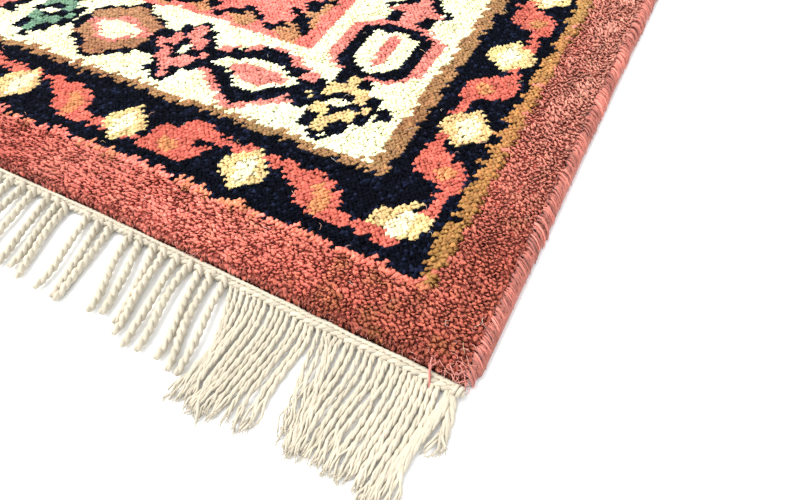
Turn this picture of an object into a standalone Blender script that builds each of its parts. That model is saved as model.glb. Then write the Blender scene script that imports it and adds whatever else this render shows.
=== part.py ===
"""A hand-knotted oriental rug, lying flat, with braided and fringed ends and overcast sides.

Metres, +Z up. The rug lies on z = 0 with its length along Y, its middle at the origin, and
its loose-stringed corner at +X, -Y.
"""
import math
import random

import bmesh
import bpy
from mathutils import Matrix

# The knotted pile
KNOT_ACROSS = 0.0032
KNOT_ALONG = 0.0034
KNOTS_IN_A_ROW = 238
ROWS = 358
PILE_WIDTH = KNOTS_IN_A_ROW * KNOT_ACROSS
PILE_LENGTH = ROWS * KNOT_ALONG
THICKNESS = 0.011
RIM_RADIUS = 0.007
CORNER_RADIUS = 0.005
RIM_SEGMENTS = 4
CORNER_SEGMENTS = 3

# The weaver's unevenness: the sides and ends wander by a millimetre or so
SIDE_WANDER = 0.0015
SIDE_WANDER_LENGTH = 0.95
END_WANDER = 0.0010
END_WANDER_LENGTH = 0.55
CUTS_ALONG = 16
CUTS_ACROSS = 12

# The clear gap that parts one piece from the next
GAP = 0.0003

# The overcast cord along each side
SELVEDGE_WIDTH = 0.005
SELVEDGE_HEIGHT = 0.0062
SELVEDGE_END_INSET = 0.0006

# The braid along each end, and the knot at each of its ends
BRAID_WIDTH = 0.0055
BRAID_HEIGHT = 0.0042
BRAID_LIFT = 0.0003
BRAID_ROUNDING = 0.0012
BRAID_ROUNDING_SEGMENTS = 2
KNOT_RADIUS = 0.0031
KNOT_INSET = 0.0022
KNOT_SIDES = 12
KNOT_RINGS = 8

# The strands
FRINGE_REACH = 0.065
ROOT_DEPTH = 0.0030
REACH_SPREAD = 0.0022
SIDE_SPREAD = 0.00018
SWAY = 0.0007
SWAY_LENGTH = 0.085
STRAND_STEPS = 4
STRING_WIDTH = 0.0023
STRING_HEIGHT = 0.0027
STRING_TIP = 0.84
CORD_WIDTH = 0.0044
CORD_HEIGHT = 0.0040
CORD_TIP = 0.90

# One row for each bunch of strands along an end, in millimetres from the loose-stringed corner:
# kind, first root, last root, first tip, last tip, number of strands, reach past the pile
STRAND_BUNCHES = (
    ("string", 3.0, 9.4, -0.5, 5.5, 3, 29),
    ("string", 12.6, 60.6, 8.5, 58.0, 16, 61),
    ("string", 64.0, 78.0, 61.0, 73.0, 5, 57),
    ("string", 81.8, 129.8, 78.0, 119.0, 16, 65),
    ("cord", 135.0, 177.0, 123.5, 166.5, 6, 55),
    ("cord", 186.0, 205.0, 173.5, 190.5, 3, 50),
    ("cord", 218.0, 238.0, 208.0, 227.0, 3, 53),
    ("cord", 254.0, 272.0, 243.0, 260.0, 3, 51),
    ("cord", 284.0, 293.0, 276.0, 286.0, 2, 53),
    ("cord", 306.0, 340.0, 297.0, 333.0, 5, 55),
    ("cord", 354.0, 371.0, 343.0, 361.0, 3, 52),
    ("cord", 383.0, 408.0, 375.0, 398.0, 4, 55),
    ("cord", 421.0, 430.0, 411.0, 421.0, 2, 51),
    ("cord", 444.0, 478.0, 435.0, 470.0, 5, 54),
    ("cord", 490.0, 507.0, 481.0, 496.5, 3, 52),
    ("cord", 521.0, 547.0, 510.0, 538.0, 4, 55),
    ("cord", 560.0, 569.0, 552.0, 562.0, 2, 50),
    ("cord", 583.0, 617.0, 575.0, 607.0, 5, 53),
    ("cord", 629.0, 646.0, 622.0, 637.5, 3, 55),
    ("cord", 660.0, 686.0, 650.0, 678.0, 4, 52),
    ("cord", 699.0, 716.0, 691.0, 708.0, 3, 50),
    ("cord", 729.0, 754.0, 720.0, 746.0, 4, 53),
)
MILLIMETRE = 0.001

# Colours, as the base colour of each piece's material
CORAL_WOOL = (0.62, 0.16, 0.11, 1.0)
CORAL_BINDING = (0.60, 0.20, 0.15, 1.0)
IVORY_COTTON = (0.78, 0.74, 0.62, 1.0)


def clear_scene():
    for thing in list(bpy.data.objects):
        bpy.data.objects.remove(thing, do_unlink=True)


def new_collection(name):
    collection = bpy.data.collections.new(name)
    bpy.context.scene.collection.children.link(collection)
    return collection


def cloth_material(name, colour, roughness):
    material = bpy.data.materials.new(name)
    material.use_nodes = True
    shader = material.node_tree.nodes["Principled BSDF"]
    shader.inputs["Base Color"].default_value = colour
    shader.inputs["Roughness"].default_value = roughness
    shader.inputs["Metallic"].default_value = 0.0
    return material


def mesh_object(name, bm, collection, material=None):
    mesh = bpy.data.meshes.new(name)
    bm.to_mesh(mesh)
    bm.free()
    thing = bpy.data.objects.new(name, mesh)
    collection.objects.link(thing)
    if material is not None:
        mesh.materials.append(material)
    return thing


def as_guide(thing):
    """Keep a shape that only joins another out of the finished rug."""
    thing.hide_render = True
    thing.display_type = "WIRE"
    return thing


def side_shift(y):
    """How far the sides wander across the rug at a place along it."""
    return SIDE_WANDER * math.sin(2 * math.pi * y / SIDE_WANDER_LENGTH)


def end_shift(x):
    """How far the ends wander along the rug at a place across it."""
    return END_WANDER * math.sin(2 * math.pi * x / END_WANDER_LENGTH)


def cut_places(length, cuts):
    return [length * (i / cuts - 0.5) for i in range(1, cuts)]


def slice_across(bm, places, axis):
    """Cut a shape through at places along X (axis 0) or Y (axis 1)."""
    normal = [0.0, 0.0, 0.0]
    normal[axis] = 1.0
    for place in places:
        point = [0.0, 0.0, 0.0]
        point[axis] = place
        geometry = bm.verts[:] + bm.edges[:] + bm.faces[:]
        bmesh.ops.bisect_plane(bm, geom=geometry, plane_co=point, plane_no=normal)


def wander(bm):
    """Move each point by the rug's unevenness at its place."""
    for vert in bm.verts:
        x, y = vert.co.x, vert.co.y
        vert.co.x = x + side_shift(y)
        vert.co.y = y + end_shift(x)


def box(size_x, size_y, low, high, centre_y=0.0):
    """A box between two heights."""
    bm = bmesh.new()
    bmesh.ops.create_cube(bm, size=1.0)
    bmesh.ops.scale(bm, vec=(size_x, size_y, high - low), verts=bm.verts)
    bmesh.ops.translate(bm, vec=(0.0, centre_y, (low + high) / 2), verts=bm.verts)
    return bm


def is_upright(edge):
    along = edge.verts[1].co - edge.verts[0].co
    return abs(along.z) > 0.9 * along.length


def is_top(edge, height):
    return all(vert.co.z > height - 1e-6 for vert in edge.verts)


def make_body(collection):
    """The knotted pile on its ground weave: one slab with rounded corners and rim."""
    bm = box(PILE_WIDTH, PILE_LENGTH, 0.0, THICKNESS)
    upright = [edge for edge in bm.edges if is_upright(edge)]
    bmesh.ops.bevel(
        bm, geom=upright, offset=CORNER_RADIUS, segments=CORNER_SEGMENTS,
        profile=0.5, affect="EDGES",
    )
    rim = [edge for edge in bm.edges if is_top(edge, THICKNESS)]
    bmesh.ops.bevel(
        bm, geom=rim, offset=RIM_RADIUS, segments=RIM_SEGMENTS,
        profile=0.5, affect="EDGES",
    )
    slice_across(bm, cut_places(PILE_LENGTH, CUTS_ALONG), 1)
    slice_across(bm, cut_places(PILE_WIDTH, CUTS_ACROSS), 0)
    wander(bm)
    return mesh_object("rug_body", bm, collection, cloth_material("coral_wool", CORAL_WOOL, 0.95))


def section_curve(name, outline, collection):
    """A closed section, drawn in its own X (sideways) and Y (up)."""
    curve = bpy.data.curves.new(name, "CURVE")
    curve.dimensions = "2D"
    spline = curve.splines.new("POLY")
    spline.points.add(len(outline) - 1)
    for point, (sideways, up) in zip(spline.points, outline):
        point.co = (sideways, up, 0.0, 1.0)
    spline.use_cyclic_u = True
    thing = bpy.data.objects.new(name, curve)
    collection.objects.link(thing)
    return as_guide(thing)


def swept_mesh(name, routes, section):
    """Sweep a section along each route of (x, y, z, size) points and weld the caps."""
    curve = bpy.data.curves.new(name, "CURVE")
    curve.dimensions = "3D"
    curve.twist_mode = "Z_UP"
    curve.bevel_mode = "OBJECT"
    curve.bevel_object = section
    curve.use_fill_caps = True
    for route in routes:
        spline = curve.splines.new("POLY")
        spline.points.add(len(route) - 1)
        for point, (x, y, z, size) in zip(spline.points, route):
            point.co = (x, y, z, 1.0)
            point.radius = size
    swept = bpy.data.objects.new(name, curve)
    bpy.context.scene.collection.objects.link(swept)
    bpy.context.view_layer.update()
    seen = swept.evaluated_get(bpy.context.evaluated_depsgraph_get())
    bm = bmesh.new()
    mesh = bpy.data.meshes.new_from_object(seen)
    bm.from_mesh(mesh)
    bmesh.ops.remove_doubles(bm, verts=bm.verts, dist=1e-5)
    bmesh.ops.recalc_face_normals(bm, faces=bm.faces)
    bpy.data.meshes.remove(mesh)
    bpy.data.objects.remove(swept, do_unlink=True)
    return bm


def make_selvedge(name, side, collection, guides, material):
    """The wool-wrapped cord along one side, round above and flat on the floor."""
    half = SELVEDGE_WIDTH / 2
    outline = (
        (-0.80 * half, 0.0), (0.80 * half, 0.0), (half, 0.38 * SELVEDGE_HEIGHT),
        (0.72 * half, 0.82 * SELVEDGE_HEIGHT), (0.0, SELVEDGE_HEIGHT),
        (-0.72 * half, 0.82 * SELVEDGE_HEIGHT), (-half, 0.38 * SELVEDGE_HEIGHT),
    )
    section = section_curve(name + "_section", outline, guides)
    middle = side * (PILE_WIDTH / 2 + GAP + half)
    end = PILE_LENGTH / 2 - SELVEDGE_END_INSET
    places = [-end] + cut_places(PILE_LENGTH, CUTS_ALONG) + [end]
    route = [(middle + side_shift(y), y, 0.0, 1.0) for y in places]
    bm = swept_mesh(name + "_route", [route], section)
    return mesh_object(name, bm, collection, material)


def strand_routes(kind, seed):
    """Where the strings or cords of one end run, as (x, y, z, size) points on the floor.

    They are laid out for the end at -Y, from the corner at +X.
    """
    chance = random.Random(seed)
    tip_size = STRING_TIP if kind == "string" else CORD_TIP
    half = PILE_WIDTH / 2
    routes = []
    for row_kind, root_a, root_b, tip_a, tip_b, count, reach in STRAND_BUNCHES:
        for i in range(count):
            share = i / (count - 1)
            root = half - (root_a + (root_b - root_a) * share) * MILLIMETRE
            tip = half - (tip_a + (tip_b - tip_a) * share) * MILLIMETRE
            tip += chance.uniform(-SIDE_SPREAD, SIDE_SPREAD)
            length = reach * MILLIMETRE + chance.uniform(-REACH_SPREAD, REACH_SPREAD)
            length = min(length, FRINGE_REACH)
            if row_kind != kind:
                continue
            start = -PILE_LENGTH / 2 - ROOT_DEPTH + end_shift(root)
            end = -PILE_LENGTH / 2 - length
            route = []
            for step in range(STRAND_STEPS + 1):
                t = step / STRAND_STEPS
                lean = t * t * (3 - 2 * t) * 0.6 + t * 0.4
                sway = SWAY * math.sin(math.pi * t) * math.sin(2 * math.pi * root / SWAY_LENGTH)
                size = 1.0 + (tip_size - 1.0) * t
                x = root + (tip - root) * lean + sway
                route.append((x, start + (end - start) * t, 0.0, size))
            routes.append(route)
    if kind == "string":
        longest = min(routes, key=lambda route: route[-1][1])
        x, y, z, size = longest[-1]
        longest[-1] = (x, -PILE_LENGTH / 2 - FRINGE_REACH, z, size)
    return routes


def make_fringe(name, seed, turn, collection, guides, material):
    """One end's braid, with its strings, cords and end knots joined to it.

    The end is laid out at -Y and then turned about Z to its place.
    """
    centre = -(PILE_LENGTH / 2 + GAP + BRAID_WIDTH / 2)
    bm = box(PILE_WIDTH, BRAID_WIDTH, BRAID_LIFT, BRAID_HEIGHT, centre)
    tops = [
        edge for edge in bm.edges
        if is_top(edge, BRAID_HEIGHT) and abs(edge.verts[0].co.y - edge.verts[1].co.y) < 1e-6
    ]
    bmesh.ops.bevel(
        bm, geom=tops, offset=BRAID_ROUNDING, segments=BRAID_ROUNDING_SEGMENTS,
        profile=0.5, affect="EDGES",
    )
    slice_across(bm, cut_places(PILE_WIDTH, CUTS_ACROSS), 0)
    for vert in bm.verts:
        vert.co.y += end_shift(vert.co.x)
    fringe = mesh_object(name, bm, collection, material)

    half = STRING_WIDTH / 2
    string_section = section_curve(
        name + "_string_section", ((-half, 0.0), (half, 0.0), (0.0, STRING_HEIGHT)), guides,
    )
    half = CORD_WIDTH / 2
    cord_outline = (
        (-half, 0.0), (half, 0.0), (0.55 * half, CORD_HEIGHT), (-0.55 * half, CORD_HEIGHT),
    )
    cord_section = section_curve(name + "_cord_section", cord_outline, guides)
    for kind, section in (("string", string_section), ("cord", cord_section)):
        strands = swept_mesh(name + kind, strand_routes(kind, seed), section)
        guide = as_guide(mesh_object(name + "_" + kind + "s", strands, guides))
        join(fringe, guide)

    knots = bmesh.new()
    for side in (-1, 1):
        x = side * (PILE_WIDTH / 2 - KNOT_INSET)
        y = -(PILE_LENGTH / 2 + GAP + KNOT_RADIUS) + end_shift(x)
        place = Matrix.Translation((x, y, KNOT_RADIUS))
        bmesh.ops.create_uvsphere(
            knots, u_segments=KNOT_SIDES, v_segments=KNOT_RINGS, radius=KNOT_RADIUS, matrix=place,
        )
    join(fringe, as_guide(mesh_object(name + "_knots", knots, guides)))

    wandered = Matrix.Translation((side_shift(-PILE_LENGTH / 2), 0.0, 0.0))
    turned = Matrix.Rotation(turn, 4, "Z") @ wandered
    for thing in [fringe] + [modifier.object for modifier in fringe.modifiers]:
        thing.data.transform(turned)
    return fringe


def join(piece, guide):
    modifier = piece.modifiers.new(guide.name, "BOOLEAN")
    modifier.operation = "UNION"
    modifier.solver = "EXACT"
    modifier.object = guide


def main():
    clear_scene()
    rug = new_collection("oriental_rug")
    guides = new_collection("guides")
    make_body(rug)
    binding = cloth_material("coral_binding", CORAL_BINDING, 0.9)
    cotton = cloth_material("ivory_cotton", IVORY_COTTON, 0.85)
    make_selvedge("selvedge_right", 1, rug, guides, binding)
    make_selvedge("selvedge_left", -1, rug, guides, binding)
    make_fringe("fringe_front", 11, 0.0, rug, guides, cotton)
    make_fringe("fringe_back", 29, math.pi, rug, guides, cotton)


main()
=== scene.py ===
"""The oriental rug as it looks: knotted wool pile, braided cotton ends, fringe and bound sides.

Metres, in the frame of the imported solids: +Y along the rug, +Z up, the floor at z = 0. The
photographed corner, with the loose strings, is at +X, -Y.
"""
import math
import random

import bmesh
import bpy
import numpy as np
from mathutils import Matrix, Vector


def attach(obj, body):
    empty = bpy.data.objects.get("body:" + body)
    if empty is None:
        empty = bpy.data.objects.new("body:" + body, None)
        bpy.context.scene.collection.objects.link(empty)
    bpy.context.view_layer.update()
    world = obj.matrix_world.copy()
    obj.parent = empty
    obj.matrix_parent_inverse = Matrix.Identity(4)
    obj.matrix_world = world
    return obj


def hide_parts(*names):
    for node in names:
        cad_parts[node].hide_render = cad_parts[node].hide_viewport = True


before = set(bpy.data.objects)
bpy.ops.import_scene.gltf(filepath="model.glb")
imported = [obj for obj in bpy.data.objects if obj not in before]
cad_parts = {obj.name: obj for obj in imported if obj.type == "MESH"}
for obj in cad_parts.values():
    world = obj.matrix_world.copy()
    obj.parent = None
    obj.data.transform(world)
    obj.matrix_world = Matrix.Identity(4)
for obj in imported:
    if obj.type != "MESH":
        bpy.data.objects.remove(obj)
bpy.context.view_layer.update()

# The knotted pile, as in the solids
KNOT_ACROSS = 0.0032
KNOT_ALONG = 0.0034
KNOTS_IN_A_ROW = 238
ROWS = 358
PILE_WIDTH = KNOTS_IN_A_ROW * KNOT_ACROSS
PILE_LENGTH = ROWS * KNOT_ALONG
THICKNESS = 0.011
RIM_RADIUS = 0.007
CORNER_RADIUS = 0.005
SIDE_WANDER = 0.0015
SIDE_WANDER_LENGTH = 0.95
END_WANDER = 0.0010
END_WANDER_LENGTH = 0.55
GAP = 0.0003

# The edge cords and the knots at the ends of the braid, as in the solids
SELVEDGE_WIDTH = 0.005
SELVEDGE_HEIGHT = 0.0062
KNOT_RADIUS = 0.0031
KNOT_INSET = 0.0022

# The fringe, as in the solids
ROOT_DEPTH = 0.0030
REACH_SPREAD = 0.0022
SIDE_SPREAD = 0.00018
SWAY = 0.0007
SWAY_LENGTH = 0.085
MILLIMETRE = 0.001
# Bunches of strands: what they are, the first and the last one's place across from the corner
# at the root and then at the tip, how many there are, and their reach, in millimetres
STRAND_BUNCHES = (
    ("string", 3.0, 9.4, -0.5, 5.5, 3, 29),
    ("string", 12.6, 60.6, 8.5, 58.0, 16, 61),
    ("string", 64.0, 78.0, 61.0, 73.0, 5, 57),
    ("string", 81.8, 129.8, 78.0, 119.0, 16, 65),
    ("cord", 135.0, 177.0, 123.5, 166.5, 6, 55),
    ("cord", 186.0, 205.0, 173.5, 190.5, 3, 50),
    ("cord", 218.0, 238.0, 208.0, 227.0, 3, 53),
    ("cord", 254.0, 272.0, 243.0, 260.0, 3, 51),
    ("cord", 284.0, 293.0, 276.0, 286.0, 2, 53),
    ("cord", 306.0, 340.0, 297.0, 333.0, 5, 55),
    ("cord", 354.0, 371.0, 343.0, 361.0, 3, 52),
    ("cord", 383.0, 408.0, 375.0, 398.0, 4, 55),
    ("cord", 421.0, 430.0, 411.0, 421.0, 2, 51),
    ("cord", 444.0, 478.0, 435.0, 470.0, 5, 54),
    ("cord", 490.0, 507.0, 481.0, 496.5, 3, 52),
    ("cord", 521.0, 547.0, 510.0, 538.0, 4, 55),
    ("cord", 560.0, 569.0, 552.0, 562.0, 2, 50),
    ("cord", 583.0, 617.0, 575.0, 607.0, 5, 53),
    ("cord", 629.0, 646.0, 622.0, 637.5, 3, 55),
    ("cord", 660.0, 686.0, 650.0, 678.0, 4, 52),
    ("cord", 699.0, 716.0, 691.0, 708.0, 3, 50),
    ("cord", 729.0, 754.0, 720.0, 746.0, 4, 53),
)
FRINGE_ENDS = (("front", 11, 0.0), ("back", 29, math.pi))


def side_shift(y):
    """How far the sides wander across the rug at a place along it."""
    return SIDE_WANDER * np.sin(2 * math.pi * y / SIDE_WANDER_LENGTH)


def end_shift(x):
    """How far the ends wander along the rug at a place across it."""
    return END_WANDER * np.sin(2 * math.pi * x / END_WANDER_LENGTH)


# The photographed corner of the pile, and the camera over it
CORNER = Vector((
    PILE_WIDTH / 2 + side_shift(-PILE_LENGTH / 2),
    -PILE_LENGTH / 2 + end_shift(PILE_WIDTH / 2),
    THICKNESS,
))
CAMERA_FROM_CORNER = Vector((0.0359, -0.0928, 0.2375))
CAMERA_TURN = math.radians(33.64)
CAMERA_TILT = math.radians(35.68)
CAMERA_ROLL = math.radians(-6.71)
CAMERA_LENS = 25.7
SENSOR_WIDTH = 36.0
NEAREST_SEEN = 0.01
FARTHEST_SEEN = 20.0


def make_camera():
    data = bpy.data.cameras.new("camera")
    data.lens = CAMERA_LENS
    data.sensor_width = SENSOR_WIDTH
    data.sensor_fit = "HORIZONTAL"
    data.clip_start = NEAREST_SEEN
    data.clip_end = FARTHEST_SEEN
    camera = bpy.data.objects.new("camera", data)
    turn = Matrix.Rotation(CAMERA_TURN, 4, "Z")
    tilt = Matrix.Rotation(CAMERA_TILT, 4, "X")
    roll = Matrix.Rotation(CAMERA_ROLL, 4, "Z")
    camera.matrix_world = Matrix.Translation(CORNER + CAMERA_FROM_CORNER) @ turn @ tilt @ roll
    bpy.context.scene.collection.objects.link(camera)
    bpy.context.scene.camera = camera


# The light: a soft window to the left and behind, and a bright plain room
SUN_STRENGTH = 3.8
SUN_SOFTNESS = math.radians(44)
SUN_FROM = Vector((-0.55, 0.05, 0.85))
SUN_COLOUR = (1.0, 0.975, 0.93)
ROOM_STRENGTH = 1.45
ROOM_COLOUR = (0.965, 0.985, 1.0, 1.0)
FLOOR_SIZE = 8.0
FLOOR_DROP = 0.0004
FLOOR_COLOUR = (0.86, 0.86, 0.86, 1.0)
FLOOR_ROUGHNESS = 0.9


def make_light():
    scene = bpy.context.scene
    scene.view_settings.view_transform = "Standard"
    world = bpy.data.worlds.new("room")
    world.use_nodes = True
    background = world.node_tree.nodes["Background"]
    background.inputs["Color"].default_value = ROOM_COLOUR
    background.inputs["Strength"].default_value = ROOM_STRENGTH
    scene.world = world
    data = bpy.data.lights.new("window", "SUN")
    data.energy = SUN_STRENGTH
    data.angle = SUN_SOFTNESS
    data.color = SUN_COLOUR
    window = bpy.data.objects.new("window", data)
    window.rotation_euler = SUN_FROM.to_track_quat("Z", "Y").to_euler()
    scene.collection.objects.link(window)


def shaped(name, bm, material):
    """An object of an edited mesh."""
    mesh = bpy.data.meshes.new(name)
    bm.to_mesh(mesh)
    bm.free()
    mesh.materials.append(material)
    piece = bpy.data.objects.new(name, mesh)
    bpy.context.scene.collection.objects.link(piece)
    return piece


def make_floor():
    bm = bmesh.new()
    bmesh.ops.create_grid(bm, x_segments=1, y_segments=1, size=FLOOR_SIZE / 2)
    bmesh.ops.translate(bm, vec=(0.0, 0.0, -FLOOR_DROP), verts=bm.verts)
    material, _, shader = new_material("plain_floor")
    preset(shader, {"Base Color": FLOOR_COLOUR, "Roughness": FLOOR_ROUGHNESS})
    floor = shaped("floor", bm, material)


def eased(t):
    """0 to 1 with a soft start and stop."""
    return t * t * (3 - 2 * t)


CLOUD_CELLS = 97
CLOUD_SPREAD = 0.6


def cloud(x, y, size, seed):
    """Smooth unevenness, mostly within -1 and 1, in patches of one size."""
    grid = np.random.default_rng(seed).normal(0.0, CLOUD_SPREAD, (CLOUD_CELLS, CLOUD_CELLS))
    u, v = x / size, y / size
    i, j = np.floor(u).astype(np.int64), np.floor(v).astype(np.int64)
    share_u, share_v = eased(u - i), eased(v - j)
    i, j = i % CLOUD_CELLS, j % CLOUD_CELLS
    next_i, next_j = (i + 1) % CLOUD_CELLS, (j + 1) % CLOUD_CELLS
    near = grid[i, j] * (1 - share_u) + grid[next_i, j] * share_u
    far = grid[i, next_j] * (1 - share_u) + grid[next_i, next_j] * share_u
    return near * (1 - share_v) + far * share_v


# Colours, picked on the screen's scale
def screen(red, green, blue):
    """A colour on the screen's 0 to 255 scale, as linear light."""
    share = np.array((red, green, blue), dtype=float) / 255.0
    return np.where(share <= 0.04045, share / 12.92, ((share + 0.055) / 1.055) ** 2.4)


BAND_CORAL = 0
OUTER_TAN = 1
NAVY = 2
INNER_TAN = 3
CREAM = 4
FIELD_CORAL = 5
VINE_CORAL = 6
LEAF_ORANGE = 7
YELLOW = 8
FLOWER_CREAM = 9
PINK = 10
ROSETTE_TAN = 11
GREEN = 12
FIELD_TAN = 13
WOOL = {
    BAND_CORAL: screen(224, 120, 104),
    OUTER_TAN: screen(174, 124, 72),
    NAVY: screen(5, 7, 17),
    INNER_TAN: screen(154, 113, 75),
    CREAM: screen(249, 245, 193),
    FIELD_CORAL: screen(226, 116, 104),
    VINE_CORAL: screen(198, 97, 81),
    LEAF_ORANGE: screen(198, 128, 82),
    YELLOW: screen(216, 184, 126),
    FLOWER_CREAM: screen(240, 225, 182),
    PINK: screen(216, 124, 112),
    ROSETTE_TAN: screen(164, 118, 84),
    GREEN: screen(108, 140, 116),
    FIELD_TAN: screen(184, 128, 88),
}
BINDING_CORAL = screen(178, 108, 96)
COTTON = screen(190, 181, 163)
# The ground weave's colours: dark brown and dark coral are painted shade that shows between the
# tufts; beige is the undyed weave
GROUND_SHADE_BROWN = screen(40, 26, 28)
GROUND_SHADE_CORAL = screen(166, 78, 66)
GROUND_BEIGE = screen(176, 142, 116)

# The widths of the bands, in knots in from a side and rows in from an end
SIDE_BANDS = (10.9, 13.5, 28.4, 31.6, 61.5)
END_BANDS = (9.7, 11.0, 26.4, 28.2, 51.2)
BAND_COLOURS = (BAND_CORAL, OUTER_TAN, NAVY, INNER_TAN, CREAM, FIELD_CORAL)
RAGGED = (0.7, 0.5, 0.3, 0.35, 0.3)
END_TAN_GAPS = 0.0
END_TAN_PATCH = 5.0
END_TAN_STRETCH = 0.2
SLIP_SHARE = 0.04


def mirrored(motif):
    return tuple(line[::-1] for line in motif)


def with_mirror(half, shared=True):
    """A whole motif from its left half; shared says that the last column is the middle one."""
    return tuple(line + (line[:-1] if shared else line)[::-1] for line in half)


def recoloured(motif, old, new):
    return tuple(line.replace(old, new) for line in motif)


# The guard border's vine: flower places in knots from the side and rows from the end
END_FLOWERS = (20.0, 52.0, 82.5, 114.0, 148.3, 182.7, 217.0)
SIDE_FLOWERS = (18.5, 42.5, 64.5, 86.5) + tuple(86.5 + 252.0 / 11 * k for k in range(1, 12))
END_VINE = (15.0, 17.8, 21.0)
SIDE_VINE = (16.9, 19.7, 22.5)
CORNER_FLOWER_AT = (20.5, 19.5)
STEM_HALF_WIDTH = 1.05
STEM_UNEVEN = 0.25
END_HALF_LEAF = 6.5
SIDE_HALF_LEAF = 4.0

# Motifs of the borders, charted knot by knot as they lie on the rug seen from above.
# The halves end at their middle column.
LETTERS = {
    "N": NAVY, "Y": YELLOW, "W": CREAM, "P": PINK, "C": PINK, "T": ROSETTE_TAN, "G": GREEN,
    "O": LEAF_ORANGE, "V": VINE_CORAL, "F": FLOWER_CREAM,
    "A": FIELD_CORAL, "B": FIELD_TAN,
}
FLOWER = (
    ".....Y....",
    "....YYY...",
    "..YYYFYY..",
    ".YYYFFFYY.",
    "YYYFFFFYYY",
    "YYYFFFFFYY",
    "YYYYFFFYYY",
    ".YYYFFFYY.",
    "...YYFY...",
    "....YY....",
)
CORNER_FLOWER = (
    ".....YY...",
    "....YY....",
    "...YYFFYYY",
    ".YYYFFFYYY",
    "YYYYFFFYYY",
    "YYYFFFFYYY",
    "YYYFFFFYY.",
    "....FFY...",
)
END_LEAF = (
    ".....VVV.........",
    "VVVVVVVVVVV......",
    "VVVVVVVVOVVVV....",
    ".VVVVVVOOOOVV....",
    "...VVVVVOOOOVV...",
    ".....VVVVOOOVV...",
    ".....VVVVOOOVVVVV",
    "......VVVOOOVVVVV",
    ".........VOVVVVV.",
)
FAR_END_LEAF = (
    ".......VVVVV...",
    "......VVVVVVVVV",
    "......VVVVVVVVV",
    "..VVVVVVVVVVVVV",
    ".VVVVVVVVVV....",
    ".VVVVVVVVVV..VV",
    ".VVVOOOOVVVVVV.",
    ".VVVOOOOOVVVVV.",
    "VVVVVOOOVVVVV..",
    "VVVVVVVVVVVV...",
)
SIDE_LEAF = (
    "VVVV......",
    ".VVVVV....",
    "VVVVVVVV..",
    "VVVVVVVVV.",
    "VVVVVOOOVV",
    "VVVVOOOOVV",
    ".VVVVOOVVV",
    "...VVVVVVV",
    "......VVVV",
)
ROSETTE = (
    ".NNN...PPP........",
    ".NNNYYYNNN........",
    ".NNNYYYNNN........",
    ".NNNYYYNNN........",
    ".YYYYYYYYY........",
    ".YYYYYYYYYYNNN....",
    ".YYYNNNNYYYNNN....",
    ".YYNNNNNYYYNNN.NN.",
    "NNNNWWWWNNNYYNNNNN",
    "NNNWWWWNNNNYYN.NNN",
    ".YYYNNNNYYYNNN.N..",
    ".YYYYNNYYYYNNN....",
    ".YYYYYYYYYYNNN....",
    ".NNNYYYYNNN.......",
    ".NNNYYYNNNN.......",
    ".NNNYYYNNNN.......",
    ".NNNYYYNNN........",
    "....NNN...........",
    ".....NNN..........",
)
LINK = (
    "PP..NN.",
    "PPPPNNN",
    "NNNNNNN",
    "WNNNNNN",
    "NNNNYNN",
    "NNNNNYN",
    "NNNNNNN",
    "PNNNNNN",
    ".PPNNN.",
)
FLAT_MEDALLION_HALF = (
    "............PP",
    "........PPPNNN",
    ".......PPPNNNN",
    "....PPPPNNNNNN",
    ".PPPNNNNNNNNNN",
    ".PPPNNNNNNWWWW",
    ".NNNNNNNWWWWWW",
    "NNNNWWWWWCCCCC",
    "NNNWWWWCCCCCCC",
    "NNWWWWWCCCCCCC",
    ".NNNNNNWWWCCCC",
    "..NNNNNNNWWCCC",
    ".PPPNNNNNNWWWW",
    "...PPPNNNNNWWW",
    "....PPPNNNNNNN",
    "......PPPNNNNN",
    ".......PPPNNNN",
    "..........PPNN",
    "..........PPPP",
    "............PP",
)
STAR = (
    ".........NNN........",
    "........NCCN........",
    ".....NNNCCCCNNN.....",
    ".....NNNCCCCNNN.....",
    ".....NNNCCCCNNNN....",
    ".NNNNCCCCCCCCCCNN...",
    "NNNNNCCCNNCCCCCNNN..",
    ".NNNNCCCNNNCCCCNNNN.",
    "NNCCCCCCNNWWNCCNNNNN",
    "NNNCCNNNNNWWNNNNCCNN",
    ".NNNCCCCNNWWNNNCCCNN",
    "..NNNNCCCNNNCCCCNNNN",
    ".NNNNNCCCNNCCCCCNNNN",
    "NNNNNNCCCCCCCCCCNNN.",
    "......NNCCCCCCCNNN..",
    ".......NNCCCNNN.....",
    ".......NNNCCNNN.....",
    "......NNNNCCCNN.....",
    ".......N.NNCCN......",
    "..........NNN.......",
)
TAN_ROSETTE_HALF = (
    "..........NN",
    ".........NNN",
    "........NTTT",
    ".....NNNTTTT",
    "..NNNTTTTTTT",
    ".NNTTTTTTTTT",
    "NTTTTTTTTCCC",
    "TTTTTTTTCCCC",
    "NNTTCCCCWWWW",
    "NNCCCWWWWWWW",
    "TTCCCWWWWWWW",
    "TTTTCCCWWWWW",
    "NNTTTTCCWWWW",
    "NNTTTTTTCWWW",
    ".TTTTTTTCCCC",
    "..NNNTTTTTTT",
    "..NNNNTTTTTT",
    ".....NNNTTTT",
    "......NNTTTT",
    "........NNTT",
    ".........NNN",
)
UPRIGHT_MEDALLION_HALF = (
    "...........N",
    "....PPPNNNNN",
    "..PPPNNNNNNN",
    "PPPNNNNNNNWW",
    "PPPNNNWWWWWC",
) + ("PPPNNNWWWWCC",) * 9 + (
    "PPPNNNNWWWWC",
    ".PPNNNNNWWWW",
    "..PPNNNNNNWW",
    "....PPNNNNNN",
    "......PPPNNN",
)
SIDE_STAR_HALF = (
    "......NCC",
    ".....NNCC",
    ".....NNCC",
    "....NNNCC",
    "...NNNCCC",
    ".NNNNCCCC",
    "NN.CCCCCC",
    ".NCCCCCCC",
    "...NNNCCC",
    "...NNNCCC",
    "...NNNCCC",
    "...NNNCCC",
    "..CCCCCCC",
)
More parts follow.
